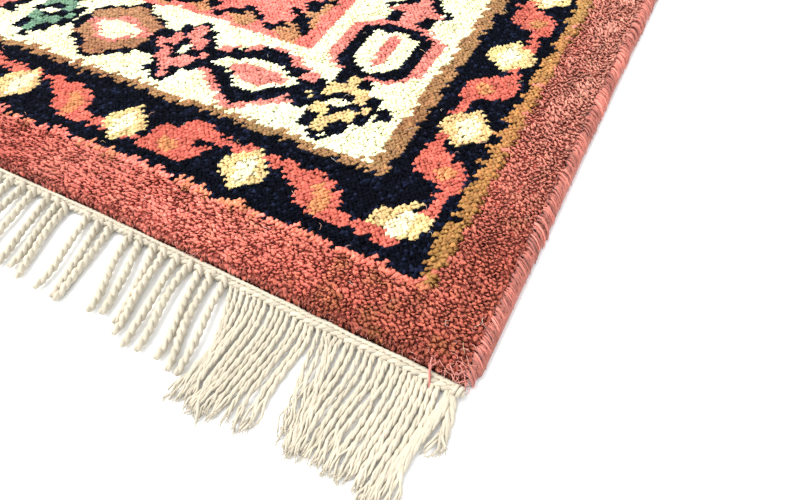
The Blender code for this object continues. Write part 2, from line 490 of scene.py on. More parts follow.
# The toothed edge at the field's corner; the field's coral fills up each row on its left
FIELD_CORNER = tuple(line.rjust(41, "A") for line in (
    "BBAA",
    "NBNAA",
    "NNNAA",
    "NNNNBBAA",
    "NNNNNBBAA",
    "NNNNBBAA",
    "NNNBBAA",
    "NNNABBBBAAA",
    "NNNNNBBBAA",
    "NNNNBBAA",
    "NNNAAAAAAAAAAANNNNBBAA",
    "NNNNNNAAAAAANNNNNAAAAAAAAANNNNNBBA",
    "NNNBNNNNAAANNNNBBNNNNAAAANNBBBNNNNAA",
    "NNNNNBBBNNAAANNNNNNBBBNNNAAANNNNBBNNNAA",
    "NNNNBBBBBBBNNNNABBBBBBBBAANNNNBBBBBBNNNA",
    "BBBAANNNAAABBBBBBAAANNBBBBBBBBAAA",
    "BBBBAAAAAAAABBBBBBAAA",
    "WWWWWWWWWWWWWWWWWWWWAAAAAAAAAAAAAABBBBAAA",
))
# The leaves that take turns on each vine: the motif, how far it stands past the middle
# between its flowers, and how far in from the edge
END_LEAVES = ((END_LEAF, 1.0, 18.0), (FAR_END_LEAF, 1.7, 18.5))
SIDE_LEAVES = ((SIDE_LEAF, 1.5, 19.7), (mirrored(SIDE_LEAF), 0.0, 19.7))
FLAT_MEDALLION = with_mirror(FLAT_MEDALLION_HALF, shared=False)
TAN_ROSETTE = with_mirror(TAN_ROSETTE_HALF)
UPRIGHT_MEDALLION = with_mirror(UPRIGHT_MEDALLION_HALF)
SIDE_STAR = with_mirror(SIDE_STAR_HALF)
GREEN_ROSETTE = recoloured(ROSETTE, "Y", "G")
YELLOW_STAR = recoloured(STAR, "C", "Y")
SMALL_STAR = recoloured(SIDE_STAR, "C", "Y")

# Where the motifs stand: their middles, in knots from the side and rows from the end
MIDDLE_KNOT = (KNOTS_IN_A_ROW - 1) / 2
MIDDLE_ROW = (ROWS - 1) / 2
CORNER_ROSETTE = (42.5, 38.0)
SIDE_COLUMN = 45.0
# How many rows past each rosette a side's medallion and its star stand
SIDE_STEPS = (18.0, 33.0)
SIDE_CYCLES = 6
END_MOTIFS = (
    (FLAT_MEDALLION, 66.5, 38.5),
    (FLAT_MEDALLION, 170.5, 38.5),
    (TAN_ROSETTE, 108.0, 40.0),
    (STAR, 88.5, 39.5),
    (mirrored(STAR), 148.5, 39.5),
    (GREEN_ROSETTE, 126.5, 39.0),
    (LINK, 54.0, 39.0),
    (mirrored(LINK), 183.0, 39.0),
    (ROSETTE, 42.5, 38.0),
    (mirrored(ROSETTE), 194.5, 38.0),
)
FIELD_CORNERS = ((FIELD_CORNER, 83.0, 59.5), (mirrored(FIELD_CORNER), 154.0, 59.5))
FIELD_MOTIFS = (
    (GREEN_ROSETTE, MIDDLE_KNOT, MIDDLE_ROW),
    (SMALL_STAR, MIDDLE_KNOT, 108.0),
    (SMALL_STAR, MIDDLE_KNOT, 140.0),
    (YELLOW_STAR, 90.0, 80.0),
    (YELLOW_STAR, MIDDLE_KNOT, 80.0),
    (YELLOW_STAR, 147.0, 80.0),
    (SMALL_STAR, 86.0, 114.0),
    (SMALL_STAR, 151.0, 114.0),
)


class Chart:
    """The colour of each knot: rows from the front end, knots from the +X side.

    Whatever is drawn is drawn again turned half round, so the rug reads alike from both ends.
    """

    def __init__(self, seed):
        self.chance = random.Random(seed)
        self.knots = np.full((ROWS, KNOTS_IN_A_ROW), BAND_CORAL, dtype=np.int64)

    def put(self, row, knot, colour):
        if 0 <= row < ROWS and 0 <= knot < KNOTS_IN_A_ROW:
            self.knots[row, knot] = colour
            self.knots[ROWS - 1 - row, KNOTS_IN_A_ROW - 1 - knot] = colour

    def stamp(self, motif, knot, row):
        """Draw a charted motif with its middle at a place."""
        left = knot + (len(motif[0]) - 1) / 2
        top = row + (len(motif) - 1) / 2
        for down, line in enumerate(motif):
            for right, letter in enumerate(line):
                if letter in LETTERS:
                    row_here, knot_here = math.floor(top - down + 0.5), math.floor(left - right + 0.5)
                    self.put(row_here, knot_here, LETTERS[letter])

    def stem(self, points, colour):
        """A line of knots through (row, knot) points."""
        for (r0, k0), (r1, k1) in zip(points, points[1:]):
            length = math.hypot(r1 - r0, k1 - k0)
            for r in range(int(min(r0, r1)) - 2, int(max(r0, r1)) + 3):
                for k in range(int(min(k0, k1)) - 2, int(max(k0, k1)) + 3):
                    t = ((r - r0) * (r1 - r0) + (k - k0) * (k1 - k0)) / length ** 2
                    t = min(1.0, max(0.0, t))
                    off = math.hypot(r - r0 - t * (r1 - r0), k - k0 - t * (k1 - k0))
                    if off < STEM_HALF_WIDTH + self.chance.uniform(-STEM_UNEVEN, STEM_UNEVEN):
                        self.put(r, k, colour)


def knots_in(rows, knots):
    """How far in each knot's middle is: in knots from a side and in rows from an end."""
    from_side = np.minimum(knots, KNOTS_IN_A_ROW - 1 - knots) + 0.5
    from_end = np.minimum(rows, ROWS - 1 - rows) + 0.5
    return from_side, from_end


def draw_bands(chart):
    """The plain ground of each border, with ragged lines where two wools meet."""
    rows, knots = np.mgrid[0:ROWS, 0:KNOTS_IN_A_ROW]
    from_side, from_end = knots_in(rows, knots)
    dice = np.random.default_rng(5)
    level = np.zeros(rows.shape, dtype=np.int64)
    for i, (side, end, ragged) in enumerate(zip(SIDE_BANDS, END_BANDS, RAGGED)):
        loose_side = dice.normal(0.0, ragged, (ROWS, 1))
        loose_end = dice.normal(0.0, ragged, (1, KNOTS_IN_A_ROW))
        inside = (from_side > side + loose_side) & (from_end > end + loose_end)
        level[inside] = i + 1
    thin = cloud(knots, rows * END_TAN_STRETCH, END_TAN_PATCH, 51) > END_TAN_GAPS
    level[(level == 1) & thin & (from_end < END_BANDS[1] + 1)] = 0
    chart.knots[:] = np.array(BAND_COLOURS)[level]


def draw_vine(chart, places, levels, leaves, half_leaf, along_end):
    """Flowers on a winding stem, with a leaf between each two."""
    outer, middle, inner = levels

    def at(s, t):
        return (t, s) if along_end else (s, t)

    for k in range(len(places) - 1):
        start, stop = places[k], places[k + 1]
        leaf, shift, leaf_level = leaves[k % 2]
        centre = (start + stop) / 2 + shift
        low, high = (outer, inner) if k % 2 == 0 else (inner, outer)
        chart.stem([at(start, low), at(centre - half_leaf, low)], VINE_CORAL)
        chart.stem([at(centre + half_leaf, high), at(stop, high)], VINE_CORAL)
        row, knot = at(centre, leaf_level)
        chart.stamp(leaf, knot, row)
    for k, place in enumerate(places[1:-1]):
        row, knot = at(place, middle)
        chart.stamp(mirrored(FLOWER) if k % 2 else FLOWER, knot, row)


def draw_corner_flowers(chart):
    knot, row = CORNER_FLOWER_AT
    chart.stamp(CORNER_FLOWER, knot, row)
    chart.stamp(mirrored(CORNER_FLOWER), KNOTS_IN_A_ROW - 1 - knot, row)


def stamp_all(chart, places):
    for motif, knot, row in places:
        chart.stamp(motif, knot, row)


def draw_main_border(chart):
    knot, first_row = CORNER_ROSETTE
    step = (ROWS - 1 - 2 * first_row) / SIDE_CYCLES
    for cycle in range(SIDE_CYCLES):
        row = first_row + step * cycle
        if cycle:
            chart.stamp(GREEN_ROSETTE if cycle % 2 else ROSETTE, knot, row)
        chart.stamp(UPRIGHT_MEDALLION, SIDE_COLUMN, row + SIDE_STEPS[0])
        chart.stamp(SIDE_STAR, SIDE_COLUMN, row + SIDE_STEPS[1])
    stamp_all(chart, END_MOTIFS)


# The field's toothed edge, in knots: its first low place, the length of a tooth, the plain
# margin under it, its height, and the width of its dark line
END_TEETH = (75.0, 14.0, 1.5, 3.3, 1.8)
SIDE_TEETH = (54.0, 13.6, 2.8, 7.2, 2.8)
# How deep a patch of the unevenness has to be to leave out a tooth, or its dark line
TOOTH_GAPS = 0.05
LINE_GAPS = 0.55
TOOTH_PATCH = 2.2
# The field's medallion, in knots: rings from the outside in, as shares of its size
MEDALLION_HALF_WIDTH = 34.0
MEDALLION_HALF_LENGTH = 78.0
MEDALLION_STEP = 4
MEDALLION_SLOPE = 0.45
MEDALLION_RINGS = (
    (1.00, NAVY), (0.94, CREAM), (0.84, NAVY), (0.79, FIELD_CORAL), (0.56, NAVY),
    (0.51, YELLOW), (0.45, NAVY), (0.32, CREAM), (0.27, FIELD_CORAL),
)


def zigzag_level(inward, along, teeth):
    """0 on the plain margin, 1 in the tan teeth, 2 on their navy line, 3 past it."""
    first, period, margin, height, line = teeth
    wave = 1 - np.abs(2 * (((along - first) / period) % 1.0) - 1)
    top = margin + height * wave
    level = np.full(inward.shape, 3)
    level[inward < top + line] = 2
    level[inward < top] = 1
    level[inward < margin] = 0
    return level


def draw_field(chart):
    """A coral ground with a toothed edge, a stepped medallion and small stars."""
    rows, knots = np.mgrid[0:ROWS, 0:KNOTS_IN_A_ROW]
    from_side, from_end = knots_in(rows, knots)
    from_side = from_side - math.floor(SIDE_BANDS[-1])
    from_end = from_end - math.floor(END_BANDS[-1])
    inside = (from_side >= 0) & (from_end >= 0)
    by_side = zigzag_level(from_side, rows, SIDE_TEETH)
    by_end = zigzag_level(from_end, knots, END_TEETH)
    level = np.minimum(by_side, by_end)
    patchy = cloud(knots, rows, TOOTH_PATCH, 57)
    level[(level == 1) & (patchy < -TOOTH_GAPS)] = 0
    level[(level == 2) & (patchy < -LINE_GAPS)] = 0
    colours = np.array((FIELD_CORAL, FIELD_TAN, NAVY, FIELD_CORAL))[level]
    chart.knots[inside] = colours[inside]
    stamp_all(chart, FIELD_CORNERS)

    across = np.abs(knots - MIDDLE_KNOT)
    along = np.abs(rows - MIDDLE_ROW)
    steps = (np.floor(along / MEDALLION_STEP) + 0.5) * MEDALLION_STEP
    sloped = MEDALLION_SLOPE * across / MEDALLION_HALF_WIDTH + steps / MEDALLION_HALF_LENGTH
    reach = np.maximum(across / MEDALLION_HALF_WIDTH, sloped)
    for size, colour in MEDALLION_RINGS:
        chart.knots[reach < size] = colour
    stamp_all(chart, FIELD_MOTIFS)


def make_slips(chart):
    """Here and there a knot is tied in its neighbour's wool."""
    dice = np.random.default_rng(17)
    slipped = dice.random((ROWS, KNOTS_IN_A_ROW)) < SLIP_SHARE
    turn = dice.integers(0, 4, (ROWS, KNOTS_IN_A_ROW))
    near = chart.knots.copy()
    for side, (axis, shift) in enumerate(((0, 1), (0, -1), (1, 1), (1, -1))):
        take = slipped & (turn == side)
        chart.knots[take] = np.roll(near, shift, axis=axis)[take]


def drawn_chart():
    chart = Chart(3)
    draw_bands(chart)
    draw_vine(chart, END_FLOWERS, END_VINE, END_LEAVES, END_HALF_LEAF, True)
    draw_vine(chart, SIDE_FLOWERS, SIDE_VINE, SIDE_LEAVES, SIDE_HALF_LEAF, False)
    draw_corner_flowers(chart)
    draw_main_border(chart)
    draw_field(chart)
    make_slips(chart)
    return chart.knots


# Mesh tools
# From this share of upright on, the first ring of a yarn is laid out from X instead of up
STEEP = 0.9


def mesh_piece(name, points, faces, material, flat=()):
    """An object from an array of points and arrays of faces, each with one count of corners.

    flat holds the numbers of the arrays whose faces are not shaded smoothly.
    """
    mesh = bpy.data.meshes.new(name)
    mesh.vertices.add(len(points))
    mesh.vertices.foreach_set("co", np.ascontiguousarray(points, dtype=np.float32).ravel())
    corners = np.concatenate([part.ravel() for part in faces])
    counts = np.concatenate([np.full(len(part), part.shape[1]) for part in faces])
    mesh.loops.add(len(corners))
    mesh.loops.foreach_set("vertex_index", corners.astype(np.int32))
    mesh.polygons.add(len(counts))
    starts = np.concatenate(([0], np.cumsum(counts)[:-1]))
    mesh.polygons.foreach_set("loop_start", starts.astype(np.int32))
    smooth = np.concatenate([np.full(len(part), i not in flat) for i, part in enumerate(faces)])
    mesh.polygons.foreach_set("use_smooth", smooth)
    mesh.update(calc_edges=True)
    mesh.validate()
    mesh.materials.append(material)
    piece = bpy.data.objects.new(name, mesh)
    bpy.context.scene.collection.objects.link(piece)
    return piece


def paint(piece, colours):
    """Give each point of a piece its wool's colour."""
    layer = piece.data.color_attributes.new("yarn", "FLOAT_COLOR", "POINT")
    full = np.ones((len(colours), 4), dtype=np.float32)
    full[:, :3] = colours
    layer.data.foreach_set("color", full.ravel())


def tubes(paths, radii, sides):
    """Round yarns along many paths: paths is (yarns, points, 3) and radii (yarns, points).

    Returns the points and the faces, with both ends of each yarn closed.
    """
    count, steps = paths.shape[:2]
    ahead = np.gradient(paths, axis=1)
    ahead /= np.linalg.norm(ahead, axis=2, keepdims=True)
    up = np.zeros((count, 3))
    up[:, 2] = 1.0
    steep = np.abs(ahead[:, 0, 2]) > STEEP
    up[steep] = (1.0, 0.0, 0.0)
    normal = np.empty_like(paths)
    for step in range(steps):
        now = ahead[:, step]
        up = up - now * np.sum(up * now, axis=1, keepdims=True)
        up /= np.linalg.norm(up, axis=1, keepdims=True)
        normal[:, step] = up
    binormal = np.cross(ahead, normal)
    angle = 2 * math.pi * np.arange(sides) / sides
    ring = (normal[:, :, None, :] * np.cos(angle)[None, None, :, None]
            + binormal[:, :, None, :] * np.sin(angle)[None, None, :, None])
    points = paths[:, :, None, :] + ring * radii[:, :, None, None]
    first = (np.arange(count)[:, None, None] * steps + np.arange(steps - 1)[None, :, None]) * sides
    here = np.arange(sides)[None, None, :]
    there = (here + 1) % sides
    walls = np.stack(
        [first + here, first + there, first + sides + there, first + sides + here], axis=-1,
    ).reshape(-1, 4)
    base = (np.arange(count) * steps * sides)[:, None]
    start = base + np.arange(sides)[::-1][None, :]
    stop = base + (steps - 1) * sides + np.arange(sides)[None, :]
    return points.reshape(-1, 3), [walls, start, stop]


def joined(parts):
    """Several (points, faces) shapes as one."""
    points = np.concatenate([part[0] for part in parts])
    offset = 0
    faces = {}
    for shape_points, shape_faces in parts:
        for part in shape_faces:
            faces.setdefault(part.shape[1], []).append(part + offset)
        offset += len(shape_points)
    return points, [np.concatenate(group) for group in faces.values()]


# Materials
NAP_DIRECTION = (-0.45, -0.89)
# The size of a fibre of the pile: along the nap, across it and upright, in metres
FIBRE_SIZE = (0.0022, 0.0005, 0.0008)
PILE_CONTRAST = 0.40
PILE_RELIEF = 0.0007
NOISE_ROUGHNESS = 0.6
NOISE_RANGE = (0.28, 0.72)
BROAD_TONES = (0.90, 1.08)
PILE_BROAD = (60.0, 60.0, 60.0)
YARN_BROAD = (90.0, 60.0, 90.0)
# Fibres a metre along each axis, the depth of their relief, their contrast and the sheen
WOOL_LOOK = ((900.0, 900.0, 900.0), 0.0003, 0.22, 0.2)
COTTON_LOOK = ((1500.0, 500.0, 1500.0), 0.00025, 0.10, 0.1)


def new_material(name):
    material = bpy.data.materials.new(name)
    material.use_nodes = True
    return material, material.node_tree, material.node_tree.nodes["Principled BSDF"]


def preset(node, values):
    """Set inputs of a node by their names."""
    for name, value in values.items():
        node.inputs[name].default_value = value


def fibre_noise(tree, scale, detail, turn=None):
    """Noise stretched by scale = (x, y, z), in features a metre.

    With a turn about the upright axis, scale is the size of a feature in metres instead.
    """
    place = tree.nodes.new("ShaderNodeTexCoord")
    stretch = tree.nodes.new("ShaderNodeMapping")
    preset(stretch, {"Scale": scale})
    if turn is not None:
        stretch.vector_type = "TEXTURE"
        preset(stretch, {"Rotation": (0.0, 0.0, turn)})
    noise = tree.nodes.new("ShaderNodeTexNoise")
    preset(noise, {"Scale": 1.0, "Detail": detail, "Roughness": NOISE_ROUGHNESS})
    tree.links.new(place.outputs["Object"], stretch.inputs["Vector"])
    tree.links.new(stretch.outputs["Vector"], noise.inputs["Vector"])
    return noise.outputs["Fac"]


def between(tree, value, low, high):
    """A 0 to 1 value spread over another range."""
    spread = tree.nodes.new("ShaderNodeMapRange")
    from_low, from_high = NOISE_RANGE
    preset(spread, {"From Min": from_low, "From Max": from_high, "To Min": low, "To Max": high})
    tree.links.new(value, spread.inputs["Value"])
    return spread.outputs["Result"]


def times(tree, colour, value):
    mix = tree.nodes.new("ShaderNodeMix")
    mix.data_type = "RGBA"
    mix.blend_type = "MULTIPLY"
    preset(mix, {"Factor": 1.0})
    tree.links.new(colour, mix.inputs["A"])
    tree.links.new(value, mix.inputs["B"])
    return mix.outputs["Result"]


def relief(tree, shader, height, strength, depth):
    """Raise the surface a little where height is large."""
    bump = tree.nodes.new("ShaderNodeBump")
    preset(bump, {"Strength": strength, "Distance": depth})
    tree.links.new(height, bump.inputs["Height"])
    tree.links.new(bump.outputs["Normal"], shader.inputs["Normal"])


def own_colours(tree, shader, fine, contrast, broad):
    """The piece's own colours, broken up by fine fibres and broad clouds."""
    own = tree.nodes.new("ShaderNodeVertexColor")
    own.layer_name = "yarn"
    colour = times(tree, own.outputs["Color"], between(tree, fine, 1 - contrast, 1 + contrast))
    colour = times(tree, colour, between(tree, broad, *BROAD_TONES))
    tree.links.new(colour, shader.inputs["Base Color"])


def yarn_material(name, fibre, depth, contrast, sheen):
    """Matt spun yarn."""
    material, tree, shader = new_material(name)
    fine = fibre_noise(tree, fibre, 3.0)
    own_colours(tree, shader, fine, contrast, fibre_noise(tree, YARN_BROAD, 2.0))
    preset(shader, {
        "Roughness": 0.88, "Specular IOR Level": 0.25, "Sheen Weight": sheen,
        "Sheen Roughness": 0.45,
    })
    relief(tree, shader, fine, 0.8, depth)
    return material


def pile_material():
    """Matt wool with its fibres combed along the nap."""
    material, tree, shader = new_material("wool_pile")
    fine = fibre_noise(tree, FIBRE_SIZE, 3.0, math.atan2(NAP_DIRECTION[1], NAP_DIRECTION[0]))
    own_colours(tree, shader, fine, PILE_CONTRAST, fibre_noise(tree, PILE_BROAD, 2.0))
    preset(shader, {"Roughness": 0.9, "Specular IOR Level": 0.05})
    relief(tree, shader, fine, 1.0, PILE_RELIEF)
    return material


# The pile: each knot shows two or three cut yarn ends that lean over their neighbours.
# An end is a low pyramid: a ring of corners down between its neighbours, and a tip.
# A painted highlight on each yarn end's tip, as a share of its wool's mean brightness
TIP_PAINTED_HIGHLIGHT = 0.10
TONE_SPREAD = 0.05
# The slow unevenness of the pile's top: the height of its hills, their size and their seed
PILE_HILLS = ((0.0003, 0.024, 41), (0.00025, 0.006, 42))
WEAVE_WANDER = 0.0007
WEAVE_WANDER_SIZE = 0.03
WEAVE_FADE = 0.03
# The ends of a knot lie by turns ahead and behind, along the nap, and outwards at the rim
STAGGER = 0.22
RIM_REACH = 0.009
RIM_FAN = 0.25
TURN_PATCH = 0.009
TURN_SPREAD = 0.7
SIZE_SPREAD = 0.18
CORNER_SPREAD = 0.00016
# The upright yarns of the flanks: each row's inset and the heights of its roots and tips
FLANK_SPACING = 0.0017
FLANK_ROWS = ((0.0002, 0.0006, 0.0072), (0.0014, 0.0030, 0.0096))
FLANK_HALF_WIDTH = 0.0012
FLANK_TIP_DEPTH = 0.0011
FLANK_LEAN = 0.0009
FLANK_SPREAD = 0.0004
FLANK_DEPTH_SPREAD = 0.00025
FLANK_LOWEST = 0.0002


class EndShape:
    """An end's proportions: ring corners and tip as (ahead, aside, depth), in metres."""

    def __init__(self, in_a_knot, ring, tip, turn, loose, uneven):
        self.in_a_knot = in_a_knot
        self.ring = ring
        self.tip = tip
        self.turn = turn
        self.loose = loose
        self.uneven = uneven


LAID_END = EndShape(
    in_a_knot=2, turn=0.45, loose=0.00036, uneven=0.00016,
    ring=((0.0029, 0.0, 0.0016), (-0.0020, 0.0024, 0.0012), (-0.0020, -0.0024, 0.0012)),
    tip=(0.0006, 0.0, 0.0),
)
OPEN_END = EndShape(
    in_a_knot=3, turn=1.1, loose=0.0005, uneven=0.0004,
    ring=((-0.0022, 0.0, 0.0024), (0.0002, -0.0018, 0.0019), (0.0002, 0.0018, 0.0019)),
    tip=(0.0011, 0.0, 0.0),
)


def to_edges(x, y):
    """How far in a place is from the pile's side and from its end."""
    return PILE_WIDTH / 2 - np.abs(x), PILE_LENGTH / 2 - np.abs(y)


def pile_height(x, y):
    """The height of the pile's top at a place, with its rounded rim and slow unevenness."""
    to_side, to_end = to_edges(x, y)
    over = np.hypot(np.maximum(0, RIM_RADIUS - to_side), np.maximum(0, RIM_RADIUS - to_end))
    over = np.minimum(over, RIM_RADIUS)
    height = THICKNESS - RIM_RADIUS + np.sqrt(RIM_RADIUS ** 2 - over ** 2)
    for hill, size, seed in PILE_HILLS:
        height = height + hill * cloud(x, y, size, seed)
    return height


def wandered(x, y):
    """A place on the straight pattern, moved as the rug's edges and its weave wander."""
    to_side, to_end = to_edges(x, y)
    fade_x = np.minimum(1, to_side / WEAVE_FADE) * WEAVE_WANDER
    fade_y = np.minimum(1, to_end / WEAVE_FADE) * WEAVE_WANDER
    bent_x = x + side_shift(y) + fade_x * cloud(x, y, WEAVE_WANDER_SIZE, 43)
    bent_y = y + end_shift(x) + fade_y * cloud(x, y, WEAVE_WANDER_SIZE, 44)
    return bent_x, bent_y


def yarn_ends(rows, knots, shape, chance):
    """The corners of each yarn end of some knots: its ring from the tail on, then its tip."""
    turn_in_knot = np.tile(np.arange(shape.in_a_knot), len(rows))
    offset = (turn_in_knot + 0.5) / shape.in_a_knot - 0.5
    stagger = np.where(turn_in_knot % 2 == 0, STAGGER, -STAGGER)
    rows, knots = np.repeat(rows, shape.in_a_knot), np.repeat(knots, shape.in_a_knot)
    count = len(rows)
    x = PILE_WIDTH / 2 - (knots + 0.5 + offset) * KNOT_ACROSS
    y = -PILE_LENGTH / 2 + (rows + 0.5 + stagger) * KNOT_ALONG
    x = x + chance.normal(0.0, shape.loose, count)
    y = y + chance.normal(0.0, shape.loose, count)

    to_side, to_end = to_edges(x, y)
    rim = np.clip(1 - np.minimum(to_side, to_end) / RIM_REACH, 0, 1)
    at_side = to_side < to_end
    out_x = np.where(at_side, np.sign(x), RIM_FAN * np.sign(x) * rim)
    out_y = np.where(at_side, 0.0, np.sign(y))
    way_x = NAP_DIRECTION[0] * (1 - rim) + out_x * rim
    way_y = NAP_DIRECTION[1] * (1 - rim) + out_y * rim
    heading = np.arctan2(way_y, way_x)
    loose_turn = cloud(x, y, TURN_PATCH, 45) + chance.normal(0.0, TURN_SPREAD, count)
    heading = heading + shape.turn * loose_turn
    way = np.stack([np.cos(heading), np.sin(heading)], axis=1)
    left = np.stack([-way[:, 1], way[:, 0]], axis=1)
    size = 1 + chance.uniform(-SIZE_SPREAD, SIZE_SPREAD, count)
    lift = chance.normal(0.0, shape.uneven, count)

    def corner(ahead, aside, depth):
        loose = chance.normal(0.0, CORNER_SPREAD, (count, 2))
        spot_x = x + (way[:, 0] * ahead + left[:, 0] * aside) * size + loose[:, 0]
        spot_y = y + (way[:, 1] * ahead + left[:, 1] * aside) * size + loose[:, 1]
        bent_x, bent_y = wandered(spot_x, spot_y)
        height = pile_height(spot_x, spot_y) - depth + (0.0 if depth else lift)
        return np.stack([bent_x, bent_y, height], axis=-1)

    return np.stack([corner(*spot) for spot in shape.ring + (shape.tip,)], axis=1)


def flank_row(low, high, inset, along_x, side, chance):
    """The upright yarns along one side of the pile, root to tip."""
    half_run, half_across = PILE_LENGTH / 2, PILE_WIDTH / 2
    if along_x:
        half_run, half_across = half_across, half_run
    half_run = half_run - CORNER_RADIUS / 2
    count = int(2 * half_run / FLANK_SPACING)
    run = np.linspace(-half_run, half_run, count)
    run = run + chance.normal(0.0, FLANK_SPREAD, count)
    lean = chance.normal(0.0, FLANK_LEAN, count)

    def corner(shift, depth, height):
        s = run + shift
        loose = chance.normal(0, FLANK_DEPTH_SPREAD, count)
        d = side * (half_across - inset - depth + loose)
        x, y = (s, d) if along_x else (d, s)
        height = np.maximum(height + chance.normal(0.0, FLANK_SPREAD, count), FLANK_LOWEST)
        return np.stack([x + side_shift(y), y + end_shift(x), height], axis=-1)

    middle = (low + high) / 2
    return np.stack([
        corner(-lean, 0.0, low),
        corner(FLANK_HALF_WIDTH, FLANK_HALF_WIDTH, middle),
        corner(-FLANK_HALF_WIDTH, FLANK_HALF_WIDTH, middle),
        corner(lean, FLANK_TIP_DEPTH, high),
    ], axis=1)


def flank_ends(chance):
    """The upright yarns that show along the pile's four sides."""
    return np.concatenate([
        flank_row(low, high, inset, along_x, side, chance)
        for inset, low, high in FLANK_ROWS for along_x in (True, False) for side in (-1, 1)
    ])


# Where the corners of an end lie in its own cell of the spread map: ring, tip, underside
MAP_CELLS = {
    3: (((0.5, 0.96), (0.96, 0.06), (0.04, 0.06)), (0.5, 0.4),
        ((0.04, 0.96), (0.04, 0.62), (0.24, 0.96))),
    4: (((0.5, 0.98), (0.98, 0.5), (0.5, 0.02), (0.02, 0.5)), (0.5, 0.5),
        ((0.02, 0.98), (0.02, 0.8), (0.2, 0.8), (0.2, 0.98))),
}


def ends_piece(name, ends, shades, tones, material, chance):
    """Yarn ends as one piece; shades are (ends, 3), tones the brightness of ring and tip as painted
    shade and painted light.
    """
    count = len(ends)
    ring = ends.shape[1] - 1
    first, second, last, tip = ends[:, 0], ends[:, 1], ends[:, ring - 1], ends[:, ring]
    volume = np.einsum("ij,ij->i", np.cross(second - first, last - first), tip - first)
    backwards = volume < 0
    turned_round = list(range(ring - 1, -1, -1)) + [ring]
    ends[backwards] = ends[backwards][:, turned_round]
    start = (ring + 1) * np.arange(count)[:, None, None]
    walls = np.array([(i, (i + 1) % ring, ring) for i in range(ring)])
    walls = (walls[None] + start).reshape(-1, 3)
    under = start[:, :, 0] + np.arange(ring)[::-1][None, :]
    piece = mesh_piece(name, ends.reshape(-1, 3), [walls, under], material, flat=(1,))

    # Painted shade at the ring, down between the neighbouring ends, and painted light at the tip
    tone = np.full((count, ring + 1), tones[0])
    tone[:, ring] = tones[1]
    tone = tone * (1 + chance.normal(0.0, TONE_SPREAD, tone.shape))
    colours = shades[:, None, :] * tone[..., None]
    # Painted highlight: the tip made lighter by a share of its wool's brightness
    colours[:, ring] += TIP_PAINTED_HIGHLIGHT * shades.mean(axis=1, keepdims=True)
    paint(piece, np.clip(colours, 0, 1).reshape(-1, 3))

    round_spots, tip_spot, under_spots = MAP_CELLS[ring]
    wall_spots = [(round_spots[i], round_spots[(i + 1) % ring], tip_spot) for i in range(ring)]
    cells = math.ceil(math.sqrt(count))
    number = np.arange(count)
    place = np.stack([number % cells, number // cells], axis=1)
    spread_walls = (place[:, None, None, :] + np.array(wall_spots)[None]) / cells
    spread_under = (place[:, None, :] + np.array(under_spots)[None]) / cells
    spread = np.concatenate([spread_walls.reshape(-1, 2), spread_under.reshape(-1, 2)])
    layer = piece.data.uv_layers.new(name="OFBake")
    layer.data.foreach_set("uv", spread.astype(np.float32).ravel())
    return piece


# How unevenly the wool is dyed: by end, and by patches as strength, size and seed
LIGHT_SPREAD = 0.14
LIGHT_PATCHES = ((0.10, 0.007, 46), (0.07, 0.03, 47))
TINT_SPREAD = 0.03
TINT_PATCH = 0.09
TINT_PATCH_SIZE = 0.035
# Some ends of navy wool are frosted
FROSTED_SHARE = 0.25
FROSTED_LIGHT = (1.5, 6.0)
# The outer band, in knots and rows: painted light some way in from the sides, a pale painted sheen
# along the sides, painted shade in the outermost rows and, browner, round the corners, with ochre
# patches
BAND_PAINTED_LIGHT = 0.34
BAND_PAINTED_LIGHT_AT = 52.0
BAND_PAINTED_LIGHT_WIDTH = 22.0
# Painted sheen: the side band's coral made paler and greyer along the sides, from this many rows in
# from the ends
SHEEN_FROM = 20.0
SHEEN_OVER = 34.0
SHEEN_SHARE = 0.62
PAINTED_SHEEN_COLOUR = screen(222, 160, 140)
# The painted sheen at a side's very edge, the knots in which it falls by 1, and its least
SIDE_SHEEN = (1.5, 11.0, 0.35)
# Painted shade on the outermost rows at the ends, where the rim turns down away from the light
END_PAINTED_SHADE = 0.38
END_PAINTED_SHADE_ROWS = 3.0
# Painted shade round the corners, and how far round them it and the ochre patches reach
CORNER_PAINTED_SHADE = 0.30
CORNER_REACH = 34.0
CORNER_OCHRE = 0.7
OCHRE_PATCH_SIZE = 0.009
OCHRE_PATCH = 1.6
OCHRE_PATCH_FROM = 0.25
FAINT_TAN = 0.5
# The browner tint of the painted shade round the corners
CORNER_SHADE_TINT = (1.0, 0.94, 0.80)
# The brightness of an end's ring and tip: painted shade at the ring, down between its neighbours, and
# painted light at the tip; the flanks' yarns are painted darker still, as shade
OPEN_PAINTED_SHADING = (0.70, 1.06)
LAID_PAINTED_SHADING = (0.92, 1.04)
FLANK_PAINTED_SHADING = (0.40, 0.85)
# The middle and the spread of the flanks' brightness, as a logarithm: the middle below 0 is painted
# shade on the flanks, the spread differs at random
FLANK_LIGHT = (-0.1, 0.15)


